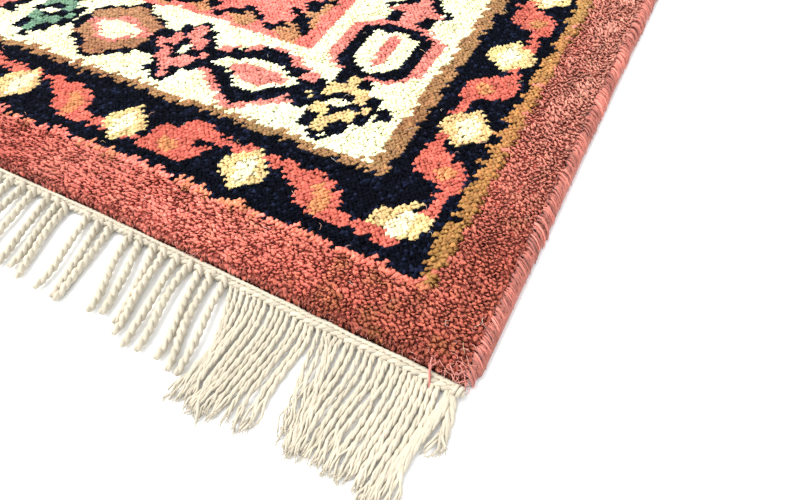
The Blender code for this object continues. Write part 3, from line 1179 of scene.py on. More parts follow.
def wool_shades(codes, rows, knots, chance):
    """Each yarn end's colour, with the unevenness of hand-dyed wool, and painted light, sheen and
    shade on the outer band.
    """
    table = np.array([WOOL[code] for code in sorted(WOOL)])
    x, y = knots * KNOT_ACROSS, rows * KNOT_ALONG
    light = np.exp(chance.normal(0.0, LIGHT_SPREAD, codes.shape))
    patches = 1
    for strength, size, seed in LIGHT_PATCHES:
        patches = patches + strength * cloud(x, y, size, seed)
    light = light * patches
    frosted = (codes == NAVY) & (chance.random(codes.shape) < FROSTED_SHARE)
    light = np.where(frosted, light * chance.uniform(*FROSTED_LIGHT, codes.shape), light)
    tint = 1 + chance.normal(0.0, TINT_SPREAD, codes.shape + (3,))
    tint[..., 1:] *= 1 + TINT_PATCH * cloud(x, y, TINT_PATCH_SIZE, 48)[..., None]
    light = light[..., None]
    shades = table[codes] * light * tint

    near_side, near_end = knots_in(rows, knots)
    band = (codes == BAND_CORAL) | (codes == OUTER_TAN)
    ochre_patch = OCHRE_PATCH * cloud(x, y, OCHRE_PATCH_SIZE, 62) - OCHRE_PATCH_FROM
    near_corner = np.exp(-(near_side ** 2 + near_end ** 2) / CORNER_REACH ** 2)
    ochre = (band * np.clip(ochre_patch, 0, 1) * near_corner * CORNER_OCHRE)[..., None]
    shades = shades * (1 - ochre) + table[OUTER_TAN] * light * ochre
    faint = ((codes == OUTER_TAN) & (near_end < near_side))[..., None]
    mixed = (1 - FAINT_TAN) * shades + FAINT_TAN * table[BAND_CORAL] * light
    shades = np.where(faint, mixed, shades)
    # Painted light on the outer band, brightest some way in from the sides
    bright = BAND_PAINTED_LIGHT * np.exp(-((near_side - BAND_PAINTED_LIGHT_AT) / BAND_PAINTED_LIGHT_WIDTH) ** 2)
    # Painted shade on the outermost rows at the ends
    dark = 1 - END_PAINTED_SHADE * np.clip(1 - near_end / END_PAINTED_SHADE_ROWS, 0, 1)
    corner = near_corner[..., None]
    shade = (1 + bright)[..., None] * dark[..., None] * (1 - CORNER_PAINTED_SHADE * corner)
    # Painted shade round the corners, browner
    shade = shade * (1 - corner * (1 - np.array(CORNER_SHADE_TINT)))
    shades = np.where(band[..., None], shades * shade, shades)

    # Painted sheen on the side band's coral, paler towards the sides
    at_edge, fading, least = SIDE_SHEEN
    painted_sheen = np.clip((near_end - SHEEN_FROM) / SHEEN_OVER, 0, 1) * SHEEN_SHARE
    painted_sheen = (painted_sheen * np.clip(at_edge - near_side / fading, least, 1))[..., None]
    sheen_mask = ((codes == BAND_CORAL) & (near_side < near_end))[..., None]
    return np.where(sheen_mask, shades * (1 - painted_sheen) + PAINTED_SHEEN_COLOUR * light * painted_sheen, shades)


def make_pile():
    """The whole pile, in pieces by the zone of the pattern."""
    wool = pile_material()
    codes = drawn_chart()
    all_rows, all_knots = np.mgrid[0:ROWS, 0:KNOTS_IN_A_ROW]
    from_side, from_end = knots_in(all_rows, all_knots)

    def inside(band):
        return (from_side > SIDE_BANDS[band]) & (from_end > END_BANDS[band])

    front = all_rows < ROWS // 2
    zones = (
        ("pile_outer_band", ~inside(0), OPEN_END, OPEN_PAINTED_SHADING),
        ("pile_guard_border", inside(0) & ~inside(3), LAID_END, LAID_PAINTED_SHADING),
        ("pile_main_border", inside(3) & ~inside(4), LAID_END, LAID_PAINTED_SHADING),
        ("pile_field_front", inside(4) & front, LAID_END, LAID_PAINTED_SHADING),
        ("pile_field_back", inside(4) & ~front, LAID_END, LAID_PAINTED_SHADING),
    )
    pieces = []
    for seed, (name, where, shape, tones) in enumerate(zones, 100):
        chance = np.random.default_rng(seed)
        rows, knots = np.nonzero(where)
        corners = yarn_ends(rows, knots, shape, chance)
        rows, knots = np.repeat(rows, shape.in_a_knot), np.repeat(knots, shape.in_a_knot)
        shades = wool_shades(codes[rows, knots], rows, knots, chance)
        pieces.append(ends_piece(name, corners, shades, tones, wool, chance))
    chance = np.random.default_rng(90)
    flank = flank_ends(chance)
    # The flanks' coral, a little darker as painted shade, and differing at random from yarn to yarn
    shades = WOOL[BAND_CORAL] * np.exp(chance.normal(*FLANK_LIGHT, (len(flank), 1)))
    pieces.append(ends_piece("pile_flanks", flank, shades, FLANK_PAINTED_SHADING, wool, chance))
    return pieces


# The ground weave under the pile
GROUND_TOP = 0.0086
GROUND_INSET = 0.0016
GROUND_ROUNDING = 0.0052
GROUND_CUTS_ALONG = 16
GROUND_CUTS_ACROSS = 12
GROUND_SEGMENTS = 3
RIB_KNOTS = 6.4
RIB_TONES = (0.6, 1.05)
RIB_RELIEF = 0.0004


def bevelled(bm, edges, offset):
    bmesh.ops.bevel(
        bm, geom=edges, offset=offset, segments=GROUND_SEGMENTS, profile=0.5, affect="EDGES",
    )


def make_ground():
    """The woven ground that holds the knots, as a thin slab under the pile."""
    bm = bmesh.new()
    bmesh.ops.create_cube(bm, size=1.0)
    size = (PILE_WIDTH - 2 * GROUND_INSET, PILE_LENGTH - 2 * GROUND_INSET, GROUND_TOP)
    bmesh.ops.scale(bm, vec=size, verts=bm.verts)
    bmesh.ops.translate(bm, vec=(0.0, 0.0, GROUND_TOP / 2), verts=bm.verts)
    upright = [e for e in bm.edges if abs(e.verts[0].co.z - e.verts[1].co.z) > GROUND_TOP / 2]
    bevelled(bm, upright, CORNER_RADIUS)
    rim = [e for e in bm.edges if all(v.co.z > GROUND_TOP * 0.9 for v in e.verts)]
    rim = [e for e in rim if any(f.normal.z < 0.5 for f in e.link_faces)]
    bevelled(bm, rim, GROUND_ROUNDING)
    for way, length, cuts in (
        ((0.0, 1.0, 0.0), PILE_LENGTH, GROUND_CUTS_ALONG),
        ((1.0, 0.0, 0.0), PILE_WIDTH, GROUND_CUTS_ACROSS),
    ):
        for i in range(1, cuts):
            place = [part * length * (i / cuts - 0.5) for part in way]
            everything = bm.verts[:] + bm.edges[:] + bm.faces[:]
            bmesh.ops.bisect_plane(bm, geom=everything, plane_co=place, plane_no=way)
    for vert in bm.verts:
        x, y = vert.co.x, vert.co.y
        vert.co.x = x + side_shift(y)
        vert.co.y = y + end_shift(x)
    return shaped("ground_weave", bm, ground_material())


def ground_material():
    """Ribbed weave: undyed, with painted shade that shows between the tufts, dark coral under the
    outer band and dark brown under the guard.
    """
    material, tree, shader = new_material("ground_weave")
    place = tree.nodes.new("ShaderNodeTexCoord")
    wave = tree.nodes.new("ShaderNodeTexWave")
    wave.bands_direction = "X"
    preset(wave, {"Scale": 1 / KNOT_ACROSS / RIB_KNOTS, "Distortion": 1.2, "Detail": 2.0})
    tree.links.new(place.outputs["Object"], wave.inputs["Vector"])

    def math_node(operation, first, second):
        node = tree.nodes.new("ShaderNodeMath")
        node.operation = operation
        for socket, value in zip(node.inputs, (first, second)):
            if isinstance(value, float):
                socket.default_value = value
            else:
                tree.links.new(value, socket)
        return node.outputs[0]

    parts = tree.nodes.new("ShaderNodeSeparateXYZ")
    tree.links.new(place.outputs["Object"], parts.inputs["Vector"])
    across = math_node("ABSOLUTE", parts.outputs["X"], 0.0)
    along = math_node("ABSOLUTE", parts.outputs["Y"], 0.0)
    shade = None
    # Painted shade under the gaps between the tufts: dark brown under the guard, dark coral under the
    # outer band
    for band, wool in ((2, GROUND_SHADE_BROWN), (0, GROUND_SHADE_CORAL)):
        side = math_node("GREATER_THAN", across, PILE_WIDTH / 2 - SIDE_BANDS[band] * KNOT_ACROSS)
        end = math_node("GREATER_THAN", along, PILE_LENGTH / 2 - END_BANDS[band] * KNOT_ALONG)
        mix = tree.nodes.new("ShaderNodeMix")
        mix.data_type = "RGBA"
        preset(mix, {"A": (*GROUND_BEIGE, 1.0), "B": (*wool, 1.0)})
        tree.links.new(math_node("MAXIMUM", side, end), mix.inputs["Factor"])
        if shade is not None:
            tree.links.new(shade, mix.inputs["A"])
        shade = mix.outputs["Result"]
    colour = times(tree, shade, between(tree, wave.outputs["Fac"], *RIB_TONES))
    tree.links.new(colour, shader.inputs["Base Color"])
    preset(shader, {"Roughness": 0.95})
    relief(tree, shader, wave.outputs["Fac"], 1.0, RIB_RELIEF)
    return material


# The fringe. Shares run from 0 at a strand's root to 1 at its tip.
ROOT_RISE = 0.0012
COTTON_SPREAD = 0.04
# The cords
CORD_PLY_RADIUS = 0.00152
CORD_PLY_OFFSET = 0.00098
CORD_TWIST = 0.0098
CORD_STEPS = 30
CORD_SIDES = 4
CORD_LEAN = 0.0020
CORD_BOW = 0.0015
CORD_HOOK = 0.0016
CORD_HOOK_MIDDLE = 0.0005
CORD_HOOK_SHARE = 0.06
CORD_RIPPLE = 0.0005
CORD_RIPPLES = 1.5
CORD_RISE = 0.0016
CORD_EASE = 0.6
CORD_PHASE = 0.4
CORD_SIZES = (0.92, 1.08)
CORD_LEGS = 1.2
CORD_LEG_SHARE = 0.07
CORD_CLOSING = 0.3
CORD_CLOSING_SHARE = 0.1
CORD_TAPER = 0.45
CORD_TAPER_SHARE = 0.05
# The loose strings
STRAND_TURNS = (0.0, 0.75, math.pi, math.pi + 0.75)
STRAND_RADIUS = 0.00096
STRAND_OFFSET = 0.00074
STRAND_TWIST = 0.014
STRAND_STEPS = 16
STRAND_SIDES = 4
STRAND_SPREAD = 0.0012
STRAND_WAVE = 0.0007
STRAND_WAVES = (1.2, 2.6)
STRAND_WAVE_AT_ROOT = 0.15
STRAND_REACH_SPREAD = 0.0014
STRAND_LIFT = 0.0010
STRAND_SIZES = (0.88, 1.12)
STRAND_TAPER = 0.35
STRAND_PARTS_AT = (0.45, 0.72)
# A few strings part early and are thin
THIN_STRINGS = (15, 20)
THIN_STRING = 0.84
THIN_PARTS_AT = 0.28
THIN_SPREAD = 1.8
TUFT_FIBRES = 2
TUFT_LENGTH = 0.0034
TUFT_LENGTHS = (0.5, 1.2)
TUFT_SPREAD = 0.0009
TUFT_START_SPREAD = 0.0002
TUFT_RADIUS = 0.00034
STRING_START = 5.0
STRING_ACROSS_SPREAD = 0.25
STRING_REACH_SPREAD = 0.8
STRING_RISE = 0.0015
STRING_ROOT_SHARE = 0.07
BEND_ROUNDING = 0.08
BEND_SAMPLES = 9
STRING_SHARES = (0.0, 0.12, 0.26, 0.45, 0.63, 0.81, 1.0)
# The loose strings of an end. Each row is how far out a string ends, and then its places across
# from the corner on its way there, all in millimetres.
STRINGS = (
    (61.0, 130.5, 127.0, 123.0, 119.0, 115.5, 112.5, 111.0),
    (64.0, 127.0, 123.5, 120.5, 118.0, 116.5, 118.5, 121.0),
    (63.0, 123.5, 120.0, 117.5, 116.5, 116.0, 116.5, 118.0),
    (64.0, 119.5, 116.0, 114.0, 113.5, 113.5, 114.5, 115.5),
    (62.0, 115.5, 112.5, 111.0, 111.0, 111.5, 112.5, 113.0),
    (66.0, 112.0, 109.0, 107.5, 107.0, 107.5, 107.0, 103.0),
    (65.0, 108.0, 105.5, 104.5, 104.5, 104.5, 105.5, 109.0),
    (66.0, 104.0, 101.5, 100.5, 100.5, 101.5, 103.5, 107.0),
    (65.0, 100.5, 98.0, 97.5, 98.0, 99.0, 101.0, 101.0),
    (63.0, 97.0, 95.0, 94.0, 95.0, 96.5, 97.5, 99.0),
    (62.0, 93.5, 92.0, 91.5, 91.5, 92.5, 93.5, 95.0),
    (61.0, 90.0, 88.0, 87.0, 88.5, 90.0, 90.5, 91.0),
    (61.0, 86.0, 84.5, 84.0, 85.0, 86.0, 86.0, 85.0),
    (61.0, 82.5, 80.5, 80.5, 81.0, 81.5, 81.0, 79.5),
    (57.0, 79.5, 77.5, 77.5, 78.5, 79.0, 78.5, 77.5),
    (54.0, 76.0, 73.5, 72.5, 70.5, 68.5, 65.5, 63.0),
    (56.0, 73.0, 70.0, 68.0, 66.5, 66.0, 64.0, 61.5),
    (51.0, 69.5, 67.5, 65.0, 63.0, 62.5, 61.5, 60.0),
    (56.0, 66.0, 65.5, 63.5, 61.0, 60.0, 59.5, 58.5),
    (59.0, 62.5, 62.5, 61.5, 60.0, 59.0, 58.5, 58.5),
    (60.0, 59.0, 58.5, 57.5, 57.0, 57.5, 58.0, 57.5),
    (59.0, 55.5, 54.5, 54.0, 54.5, 55.5, 55.5, 55.0),
    (58.0, 51.5, 50.5, 50.0, 50.5, 52.0, 52.0, 51.5),
    (58.0, 48.0, 46.5, 46.5, 48.0, 48.5, 48.0, 48.0),
    (58.0, 44.5, 43.0, 42.5, 43.0, 45.0, 45.5, 45.0),
    (59.0, 41.0, 39.0, 39.0, 40.5, 42.0, 42.0, 41.5),
    (60.0, 37.5, 36.5, 36.0, 33.5, 33.5, 36.0, 37.5),
    (59.0, 34.0, 33.0, 33.0, 36.5, 38.0, 38.5, 37.0),
    (60.0, 31.0, 30.0, 29.5, 29.5, 30.0, 31.5, 33.0),
    (58.0, 28.0, 26.5, 26.0, 26.5, 27.5, 28.0, 30.0),
    (57.0, 25.0, 24.0, 23.0, 23.5, 25.0, 25.5, 26.5),
    (57.0, 22.0, 21.0, 20.5, 21.0, 22.0, 23.0, 23.0),
    (58.0, 19.0, 18.5, 17.5, 18.0, 18.5, 20.0, 21.0),
    (61.0, 16.5, 15.5, 15.0, 15.5, 16.5, 17.0, 18.0),
    (62.0, 13.5, 13.0, 12.0, 12.0, 13.0, 15.0, 16.5),
    (62.0, 11.0, 10.5, 9.5, 9.5, 11.0, 13.0, 14.5),
    (62.0, 5.5, 6.0, 7.5, 9.5, 11.5, 14.0, 17.0),
    (61.0, 4.8, 5.0, 6.5, 8.5, 11.0, 12.5, 13.5),
    (60.0, 4.2, 4.2, 5.2, 7.5, 9.5, 10.5, 10.0),
    (58.0, 3.6, 3.2, 4.2, 6.5, 8.0, 7.5, 6.5),
    (33.0, 3.0, 2.4, 1.5, 0.5, 0.3, 1.2, 2.5),
    (28.0, 2.5, 1.5, 0.2, -0.8, -1.5, -2.5, -4.0),
)


def cord_lines(seed, steps, radius):
    """The middle of each cord at even steps, as (cords, steps, 3).

    They are laid out for the end at -Y, from the corner at +X, and start as in the solids.
    """
    chance = random.Random(seed)
    half = PILE_WIDTH / 2
    t = np.linspace(0.0, 1.0, steps)
    lean = eased(t) * CORD_EASE + t * (1 - CORD_EASE)
    lines = []
    for kind, root_a, root_b, tip_a, tip_b, count, reach in STRAND_BUNCHES:
        for i in range(count):
            share = i / (count - 1)
            root = half - (root_a + (root_b - root_a) * share) * MILLIMETRE
            tip = half - (tip_a + (tip_b - tip_a) * share) * MILLIMETRE
            tip += chance.uniform(-SIDE_SPREAD, SIDE_SPREAD)
            length = reach * MILLIMETRE + chance.uniform(-REACH_SPREAD, REACH_SPREAD)
            if kind == "cord":
                sway = SWAY * math.sin(2 * math.pi * root / SWAY_LENGTH) * np.sin(math.pi * t)
                x = root + (tip - root) * lean + sway
                start = -PILE_LENGTH / 2 - ROOT_DEPTH + end_shift(root)
                y = start + (-PILE_LENGTH / 2 - length - start) * t
                z = radius + ROOT_RISE * np.exp(-t / CORD_HOOK_SHARE)
                lines.append(np.stack([x, y, z], axis=1))
    return np.array(lines)


def rounded(shares, values, at):
    """Values between the given shares, with the bends rounded off."""
    reach = np.linspace(-BEND_ROUNDING, BEND_ROUNDING, BEND_SAMPLES)
    return np.mean([np.interp(at + near, shares, values) for near in reach], axis=0)


def string_lines(steps, height, chance):
    """The middle of each loose string, some raised where they cross."""
    t = np.linspace(0.0, 1.0, steps)
    lines = []
    for reach, *across in STRINGS:
        across = np.array(across) + chance.normal(0.0, STRING_ACROSS_SPREAD, len(across))
        x = PILE_WIDTH / 2 - rounded(STRING_SHARES, across, t) * MILLIMETRE
        reach = reach + chance.normal(0.0, STRING_REACH_SPREAD)
        out = (STRING_START + (reach - STRING_START) * t) * MILLIMETRE
        y = -PILE_LENGTH / 2 - out + end_shift(x)
        rise = chance.uniform(0.0, STRING_RISE) * np.sin(math.pi * t)
        z = height + ROOT_RISE * np.exp(-t / STRING_ROOT_SHARE) + rise
        lines.append(np.stack([x, y, z], axis=1))
    return np.array(lines)


def plies(lines, offset, twist, phase, grip, turns=(0.0, math.pi)):
    """Yarns wound round each line; grip spreads them, as near the root."""
    ahead = np.gradient(lines, axis=1)
    span = np.linalg.norm(ahead, axis=2)
    run = np.cumsum(span, axis=1)
    side = np.cross(ahead, np.array((0.0, 0.0, 1.0)))
    side /= np.linalg.norm(side, axis=2, keepdims=True)
    above = np.cross(side, ahead)
    above /= np.linalg.norm(above, axis=2, keepdims=True)
    found = []
    for turn in turns:
        angle = 2 * math.pi * run / twist + phase[:, None] + turn
        out = side * np.cos(angle)[..., None] + above * np.sin(angle)[..., None]
        found.append(lines + out * (offset * grip)[..., None])
    return np.concatenate(found)


def cotton_shades(points, chance, count):
    """A slightly different tone for each of count equal runs of points."""
    tone = 1 + chance.normal(0.0, COTTON_SPREAD, (count, 1))
    return COTTON[None, :] * np.repeat(tone, len(points) // count, axis=0)


def cotton_piece(name, shapes, tones, turned, cotton):
    """Some shapes of cotton as one piece, turned to their end of the rug."""
    points, faces = joined(shapes)
    piece = mesh_piece(name, points @ turned.T, faces, cotton)
    paint(piece, np.concatenate(tones))
    return piece


def tufts_at(tips, ways, chance):
    """A few loose fibres past each yarn's cut end."""
    tips = np.repeat(tips, TUFT_FIBRES, axis=0)
    ways = np.repeat(ways, TUFT_FIBRES, axis=0)
    count = len(tips)
    t = np.linspace(0.0, 1.0, 3)
    aside = chance.normal(0.0, TUFT_SPREAD, (count, 1)) * t[None, :] ** 1.3
    reach = (TUFT_LENGTH * chance.uniform(*TUFT_LENGTHS, (count, 1))) * t[None, :]
    paths = tips[:, None, :] + ways[:, None, :] * reach[..., None]
    paths[..., 0] += aside + chance.normal(0.0, TUFT_START_SPREAD, (count, 1))
    paths[..., 2] = np.maximum(paths[..., 2] * (1 - 0.5 * t[None, :]), TUFT_RADIUS * 1.1)
    radii = np.full((count, 1), TUFT_RADIUS) * (1 - 0.6 * t)[None, :]
    return tubes(paths, radii, 3)


def last_part(t, share):
    """0 until the last share of a strand, then up to 1 at its tip."""
    return np.maximum(0, (t - (1 - share)) / share)


def make_cords(end, seed, turned, cotton):
    """Twisted cords of two plies, which part round the braid and close at the tip."""
    chance = np.random.default_rng(seed)
    lines = cord_lines(seed, CORD_STEPS, CORD_PLY_RADIUS + CORD_PLY_OFFSET)
    count = len(lines)
    t = np.linspace(0, 1, CORD_STEPS)
    arch = np.sin(math.pi * t)[None, :]
    lines[..., 0] += chance.normal(0.0, CORD_LEAN, (count, 1)) * t[None, :]
    lines[..., 0] += chance.normal(0.0, CORD_BOW, (count, 1)) * arch
    ripple = np.sin(2 * math.pi * t[None, :] * CORD_RIPPLES + chance.uniform(0, 6, (count, 1)))
    lines[..., 0] += CORD_RIPPLE * ripple * t[None, :]
    hook = chance.normal(CORD_HOOK_MIDDLE, CORD_HOOK, (count, 1))
    lines[..., 0] += hook * np.exp(-t / CORD_HOOK_SHARE)[None, :]
    lines[..., 2] += chance.uniform(0.0, CORD_RISE, (count, 1)) * arch ** 2
    phase = chance.normal(0.0, CORD_PHASE, count)
    legs = CORD_LEGS * np.exp(-t / CORD_LEG_SHARE)
    grip = 1 + legs - CORD_CLOSING * last_part(t, CORD_CLOSING_SHARE)
    paths = plies(lines, CORD_PLY_OFFSET, CORD_TWIST, phase, np.tile(grip, (count, 1)))
    paths[..., 2] = np.maximum(paths[..., 2], CORD_PLY_RADIUS)
    size = chance.uniform(*CORD_SIZES, (count, 1))
    taper = 1 - CORD_TAPER * last_part(t, CORD_TAPER_SHARE) ** 2
    radii = CORD_PLY_RADIUS * np.tile(size, (2, 1)) * taper[None, :]
    points, faces = tubes(paths, radii, CORD_SIDES)
    tones = [cotton_shades(points, chance, len(paths))]
    return cotton_piece("cords_" + end, [(points, faces)], tones, turned, cotton)


def make_strings(end, seed, turned, cotton):
    """Loose strings: two plies of two strands each, that part and fan further out."""
    chance = np.random.default_rng(seed + 1)
    lines = string_lines(STRAND_STEPS, STRAND_RADIUS + 0.6 * STRAND_OFFSET, chance)
    count = len(lines)
    t = np.linspace(0, 1, STRAND_STEPS)
    number = np.arange(count)
    thin = (number >= THIN_STRINGS[0]) & (number < THIN_STRINGS[1])
    phase = chance.uniform(0, 2 * math.pi, count)
    grip = np.ones((count, STRAND_STEPS))
    paths = plies(lines, STRAND_OFFSET, STRAND_TWIST, phase, grip, STRAND_TURNS)
    every = len(paths)
    thin = np.tile(thin, len(STRAND_TURNS))[:, None]
    parted_from = np.where(thin, THIN_PARTS_AT, chance.uniform(*STRAND_PARTS_AT, (every, 1)))
    parted = eased(np.clip((t[None, :] - parted_from) / (1 - parted_from), 0, 1))
    fan = chance.normal(0.0, STRAND_SPREAD, (every, 1)) * parted
    fan = fan * np.where(thin, THIN_SPREAD, 1.0)
    turns = chance.uniform(*STRAND_WAVES, (every, 1))
    wave = np.sin(2 * math.pi * (t[None, :] * turns + chance.uniform(0, 1, (every, 1))))
    paths[..., 0] += fan + STRAND_WAVE * wave * (STRAND_WAVE_AT_ROOT + parted)
    paths[..., 1] += chance.normal(0.0, STRAND_REACH_SPREAD, (every, 1)) * t[None, :] ** 2
    lift = np.abs(chance.normal(0.0, STRAND_LIFT, (every, 1)))
    paths[..., 2] += lift * parted * (1.3 - t)[None, :]
    paths[..., 2] = np.maximum(paths[..., 2], STRAND_RADIUS)
    taper = (1 - STRAND_TAPER * parted) * np.where(thin, THIN_STRING, 1.0)
    radii = STRAND_RADIUS * chance.uniform(*STRAND_SIZES, (every, 1)) * taper
    strands = tubes(paths, radii, STRAND_SIDES)
    ways = paths[:, -1] - paths[:, -2]
    ways /= np.linalg.norm(ways, axis=1, keepdims=True)
    tufts = tufts_at(paths[:, -1], ways, chance)
    tones = [
        cotton_shades(strands[0], chance, every),
        cotton_shades(tufts[0], chance, every * TUFT_FIBRES),
    ]
    return cotton_piece("strings_" + end, [strands, tufts], tones, turned, cotton)


# The braid
BRAID_STEPS_A_TURN = 4
BRAID_SIDES = 4
BRAID_WANDER = 0.0003
BRAID_WANDER_SIZE = 0.012
BRAID_HILL_SIZE = 0.009
# Its ropes: the distance out from the pile, the height, the radius and the offset of a ply, and
# the length of one turn
BRAID_ROPES = (
    (0.0036, 0.0025, 0.00158, 0.00094, 0.0080),
    (0.0013, 0.0036, 0.00110, 0.00044, 0.0064),
)


def make_braid(end, seed, turned, cotton):
    """Two twined ropes of cotton along an end."""
    chance = np.random.default_rng(seed + 2)
    length = PILE_WIDTH - 2 * KNOT_INSET
    shapes = []
    tones = []
    for out, height, radius, offset, twist in BRAID_ROPES:
        steps = int(length / twist * BRAID_STEPS_A_TURN)
        x = np.linspace(length / 2, -length / 2, steps)
        y = -PILE_LENGTH / 2 - out + end_shift(x)
        y = y + BRAID_WANDER * cloud(x, x * 0, BRAID_WANDER_SIZE, seed)
        z = height + BRAID_WANDER * cloud(x, x * 0, BRAID_HILL_SIZE, seed + 1)
        line = np.stack([x, y, z], axis=1)[None]
        paths = plies(line, offset, twist, np.zeros(1), np.ones((1, steps)))
        shapes.append(tubes(paths, np.full(paths.shape[:2], radius), BRAID_SIDES))
        tones.append(cotton_shades(shapes[-1][0], chance, 2))
    return cotton_piece("braid_" + end, shapes, tones, turned, cotton)


# The knots at the braid's ends
KNOT_WRAPS = 3.5
KNOT_STEPS = 44
KNOT_SIDES = 5
KNOT_YARN = 0.00118
KNOT_REACH = 0.00225
KNOT_STRETCH = 1.15
KNOT_OUT = 0.0006
KNOT_LIFT = 0.0003


def make_end_knots(end, seed, turned, cotton):
    """The wrapped knot that closes the braid at each of its ends."""
    chance = np.random.default_rng(seed + 3)
    t = np.linspace(0.02, 0.98, KNOT_STEPS)
    angle = 2 * math.pi * KNOT_WRAPS * t
    polar = math.pi * t
    shapes = []
    for side in (-1, 1):
        centre_x = side * (PILE_WIDTH / 2 - KNOT_INSET + KNOT_OUT)
        centre_y = -(PILE_LENGTH / 2 + GAP + KNOT_RADIUS) + end_shift(centre_x)
        x = centre_x + KNOT_STRETCH * KNOT_REACH * np.cos(polar)
        y = centre_y + KNOT_REACH * np.sin(polar) * np.cos(angle)
        z = KNOT_REACH + KNOT_YARN + KNOT_LIFT + KNOT_REACH * np.sin(polar) * np.sin(angle)
        path = np.stack([x, y, z], axis=1)[None]
        shapes.append(tubes(path, np.full((1, KNOT_STEPS), KNOT_YARN), KNOT_SIDES))
    every_point = np.concatenate([points for points, _ in shapes])
    tones = [cotton_shades(every_point, chance, 2)]
    return cotton_piece("end_knots_" + end, shapes, tones, turned, cotton)


def make_fringe(end, seed, turn, cotton):
    """Everything of cotton at one end, laid out at -Y and turned to its place."""
    turned = np.array(Matrix.Rotation(turn, 3, "Z"))
    pieces = [
        make_cords(end, seed, turned, cotton),
        make_strings(end, seed, turned, cotton),
        make_braid(end, seed, turned, cotton),
        make_end_knots(end, seed, turned, cotton),
    ]
    shift = Vector((side_shift(-PILE_LENGTH / 2), 0.0, 0.0))
    shift.rotate(Matrix.Rotation(turn, 3, "Z"))
    for piece in pieces:
        piece.data.transform(Matrix.Translation(shift))
    return pieces


# The bound sides
WRAP_SPACING = 0.00118
WRAP_SLANT = 0.0042
WRAP_SLANTS = (0.4, 1.6)
WRAP_YARN = 0.00070
WRAP_YARN_SPREAD = 0.25
WRAP_YARNS = (0.0003, 0.0009)
WRAP_PUFF = 0.08
WRAP_TONE = 0.26
WRAP_PLACE_SPREAD = 0.0005
# How far in from the front and the back end the turns start and stop
WRAP_FIRST = 0.003
WRAP_LAST = 0.001
# How a turn of wool runs: out from the pile's side and up from the floor, in millimetres
WRAP_PATH = ((-2.2, 7.4), (-0.4, 8.3), (2.0, 7.2), (3.9, 4.4), (4.2, 0.6))
WRAP_TAPER = 0.016
CORE_STEPS = 24
CORE_SIDES = 8
CORE_INSET = 0.007
# The cords under the turns are painted darker than the wraps, as painted shade in the gaps between
# them
CORE_PAINTED_SHADE = 0.8
# The cords under the turns: out from the pile's side, height and radius, in metres
WRAP_CORES = ((0.0025, 0.0031, 0.0025), (0.0004, 0.0058, 0.0015))


def make_selvedge(side_name, side, wool):
    """Slanted, uneven turns of soft wool from the pile's rim down over the edge cord."""
    chance = np.random.default_rng(61 if side > 0 else 67)
    count = int(PILE_LENGTH / WRAP_SPACING)
    y = np.linspace(WRAP_FIRST - PILE_LENGTH / 2, PILE_LENGTH / 2 - WRAP_LAST, count)
    y = y + chance.normal(0.0, WRAP_PLACE_SPREAD, count)
    out, height = np.array(WRAP_PATH).T * MILLIMETRE
    t = np.linspace(0.0, 1.0, len(out))
    puff = 1 + chance.normal(0.0, WRAP_PUFF, (count, 1)) + 0.07 * cloud(y, y * 0, 0.02, 53)[:, None]
    to_end = np.clip((PILE_LENGTH / 2 - np.abs(y)) / WRAP_TAPER, 0, 1)[:, None]
    reach = out[None, :] * puff * np.where(out > 0, 0.45 + 0.55 * np.sqrt(to_end), 1.0)
    reach = reach + 0.0007 * cloud(y, y * 0, 0.004, 54)[:, None] * (out < 0.001)
    x = side * (PILE_WIDTH / 2 + reach) + side_shift(y)[:, None]
    z = height[None, :] * puff + chance.normal(0.0, 0.0002, (count, 1))
    slant = WRAP_SLANT * chance.uniform(*WRAP_SLANTS, (count, 1))
    along = y[:, None] - slant * (t[None, :] - 0.4)
    along = np.clip(along, -PILE_LENGTH / 2 - 0.001, PILE_LENGTH / 2 + 0.001)
    paths = np.stack([x, along, np.maximum(z, 0.0009)], axis=2)
    radii = WRAP_YARN * (1 + chance.normal(0.0, WRAP_YARN_SPREAD, (count, 1)))
    radii = np.clip(radii * np.ones((1, len(out))), *WRAP_YARNS)
    points, faces = tubes(paths, radii, 3)
    tone = chance.normal(0.0, WRAP_TONE, (count, 1)) + 0.16 * cloud(y, y * 0, 0.011, 55)[:, None]
    colours = BINDING_CORAL[None, :] * np.repeat(np.exp(tone), len(points) // count, axis=0)
    core_y = np.linspace(-1, 1, CORE_STEPS) * (PILE_LENGTH / 2 - CORE_INSET)
    shapes = [(points, faces)]
    for middle, height, radius in WRAP_CORES:
        across = side * (PILE_WIDTH / 2 + middle) + side_shift(core_y)
        core = np.stack([across, core_y, np.full(CORE_STEPS, height)], axis=1)[None]
        shapes.append(tubes(core, np.full((1, CORE_STEPS), radius), CORE_SIDES))
    all_points, all_faces = joined(shapes)
    piece = mesh_piece("binding_" + side_name, all_points, all_faces, wool)
    # Painted shade: the cords under the turns darker than the wraps
    shaded_core_colours = np.tile(BINDING_CORAL * CORE_PAINTED_SHADE, (len(all_points) - len(points), 1))
    paint(piece, np.clip(np.concatenate([colours, shaded_core_colours]), 0, 1))
    return piece


# Loose fibres
HAIR_COUNT = 900
HAIR_STEPS = 4
HAIR_LENGTHS = (0.003, 0.009)
HAIR_BEND = 2.2
HAIR_ARCH = 0.0008
HAIR_RADIUS = 0.0001
FUZZ_COUNT = 1000
FUZZ_STEPS = 3
FUZZ_LENGTHS = (0.0015, 0.0042)
FUZZ_ON_SIDES = 0.72
FUZZ_RADIUS = 0.00009
FUZZ_SPREAD = 0.15
CORNER_FUZZ = 70
CORNER_FUZZ_STEPS = 5
CORNER_FUZZ_LENGTHS = (0.003, 0.0065)
CORNER_FUZZ_REACH = 0.007
CORNER_FUZZ_BEND = 2.0
CORNER_FUZZ_RADIUS = 0.00013
FIBRE_LOWEST = 0.0004
HAIR_COLOURS = (screen(222, 210, 198), screen(240, 180, 160), screen(226, 196, 150))
FUZZ_COLOUR = screen(232, 158, 142)
YARN_PINK = screen(198, 122, 110)
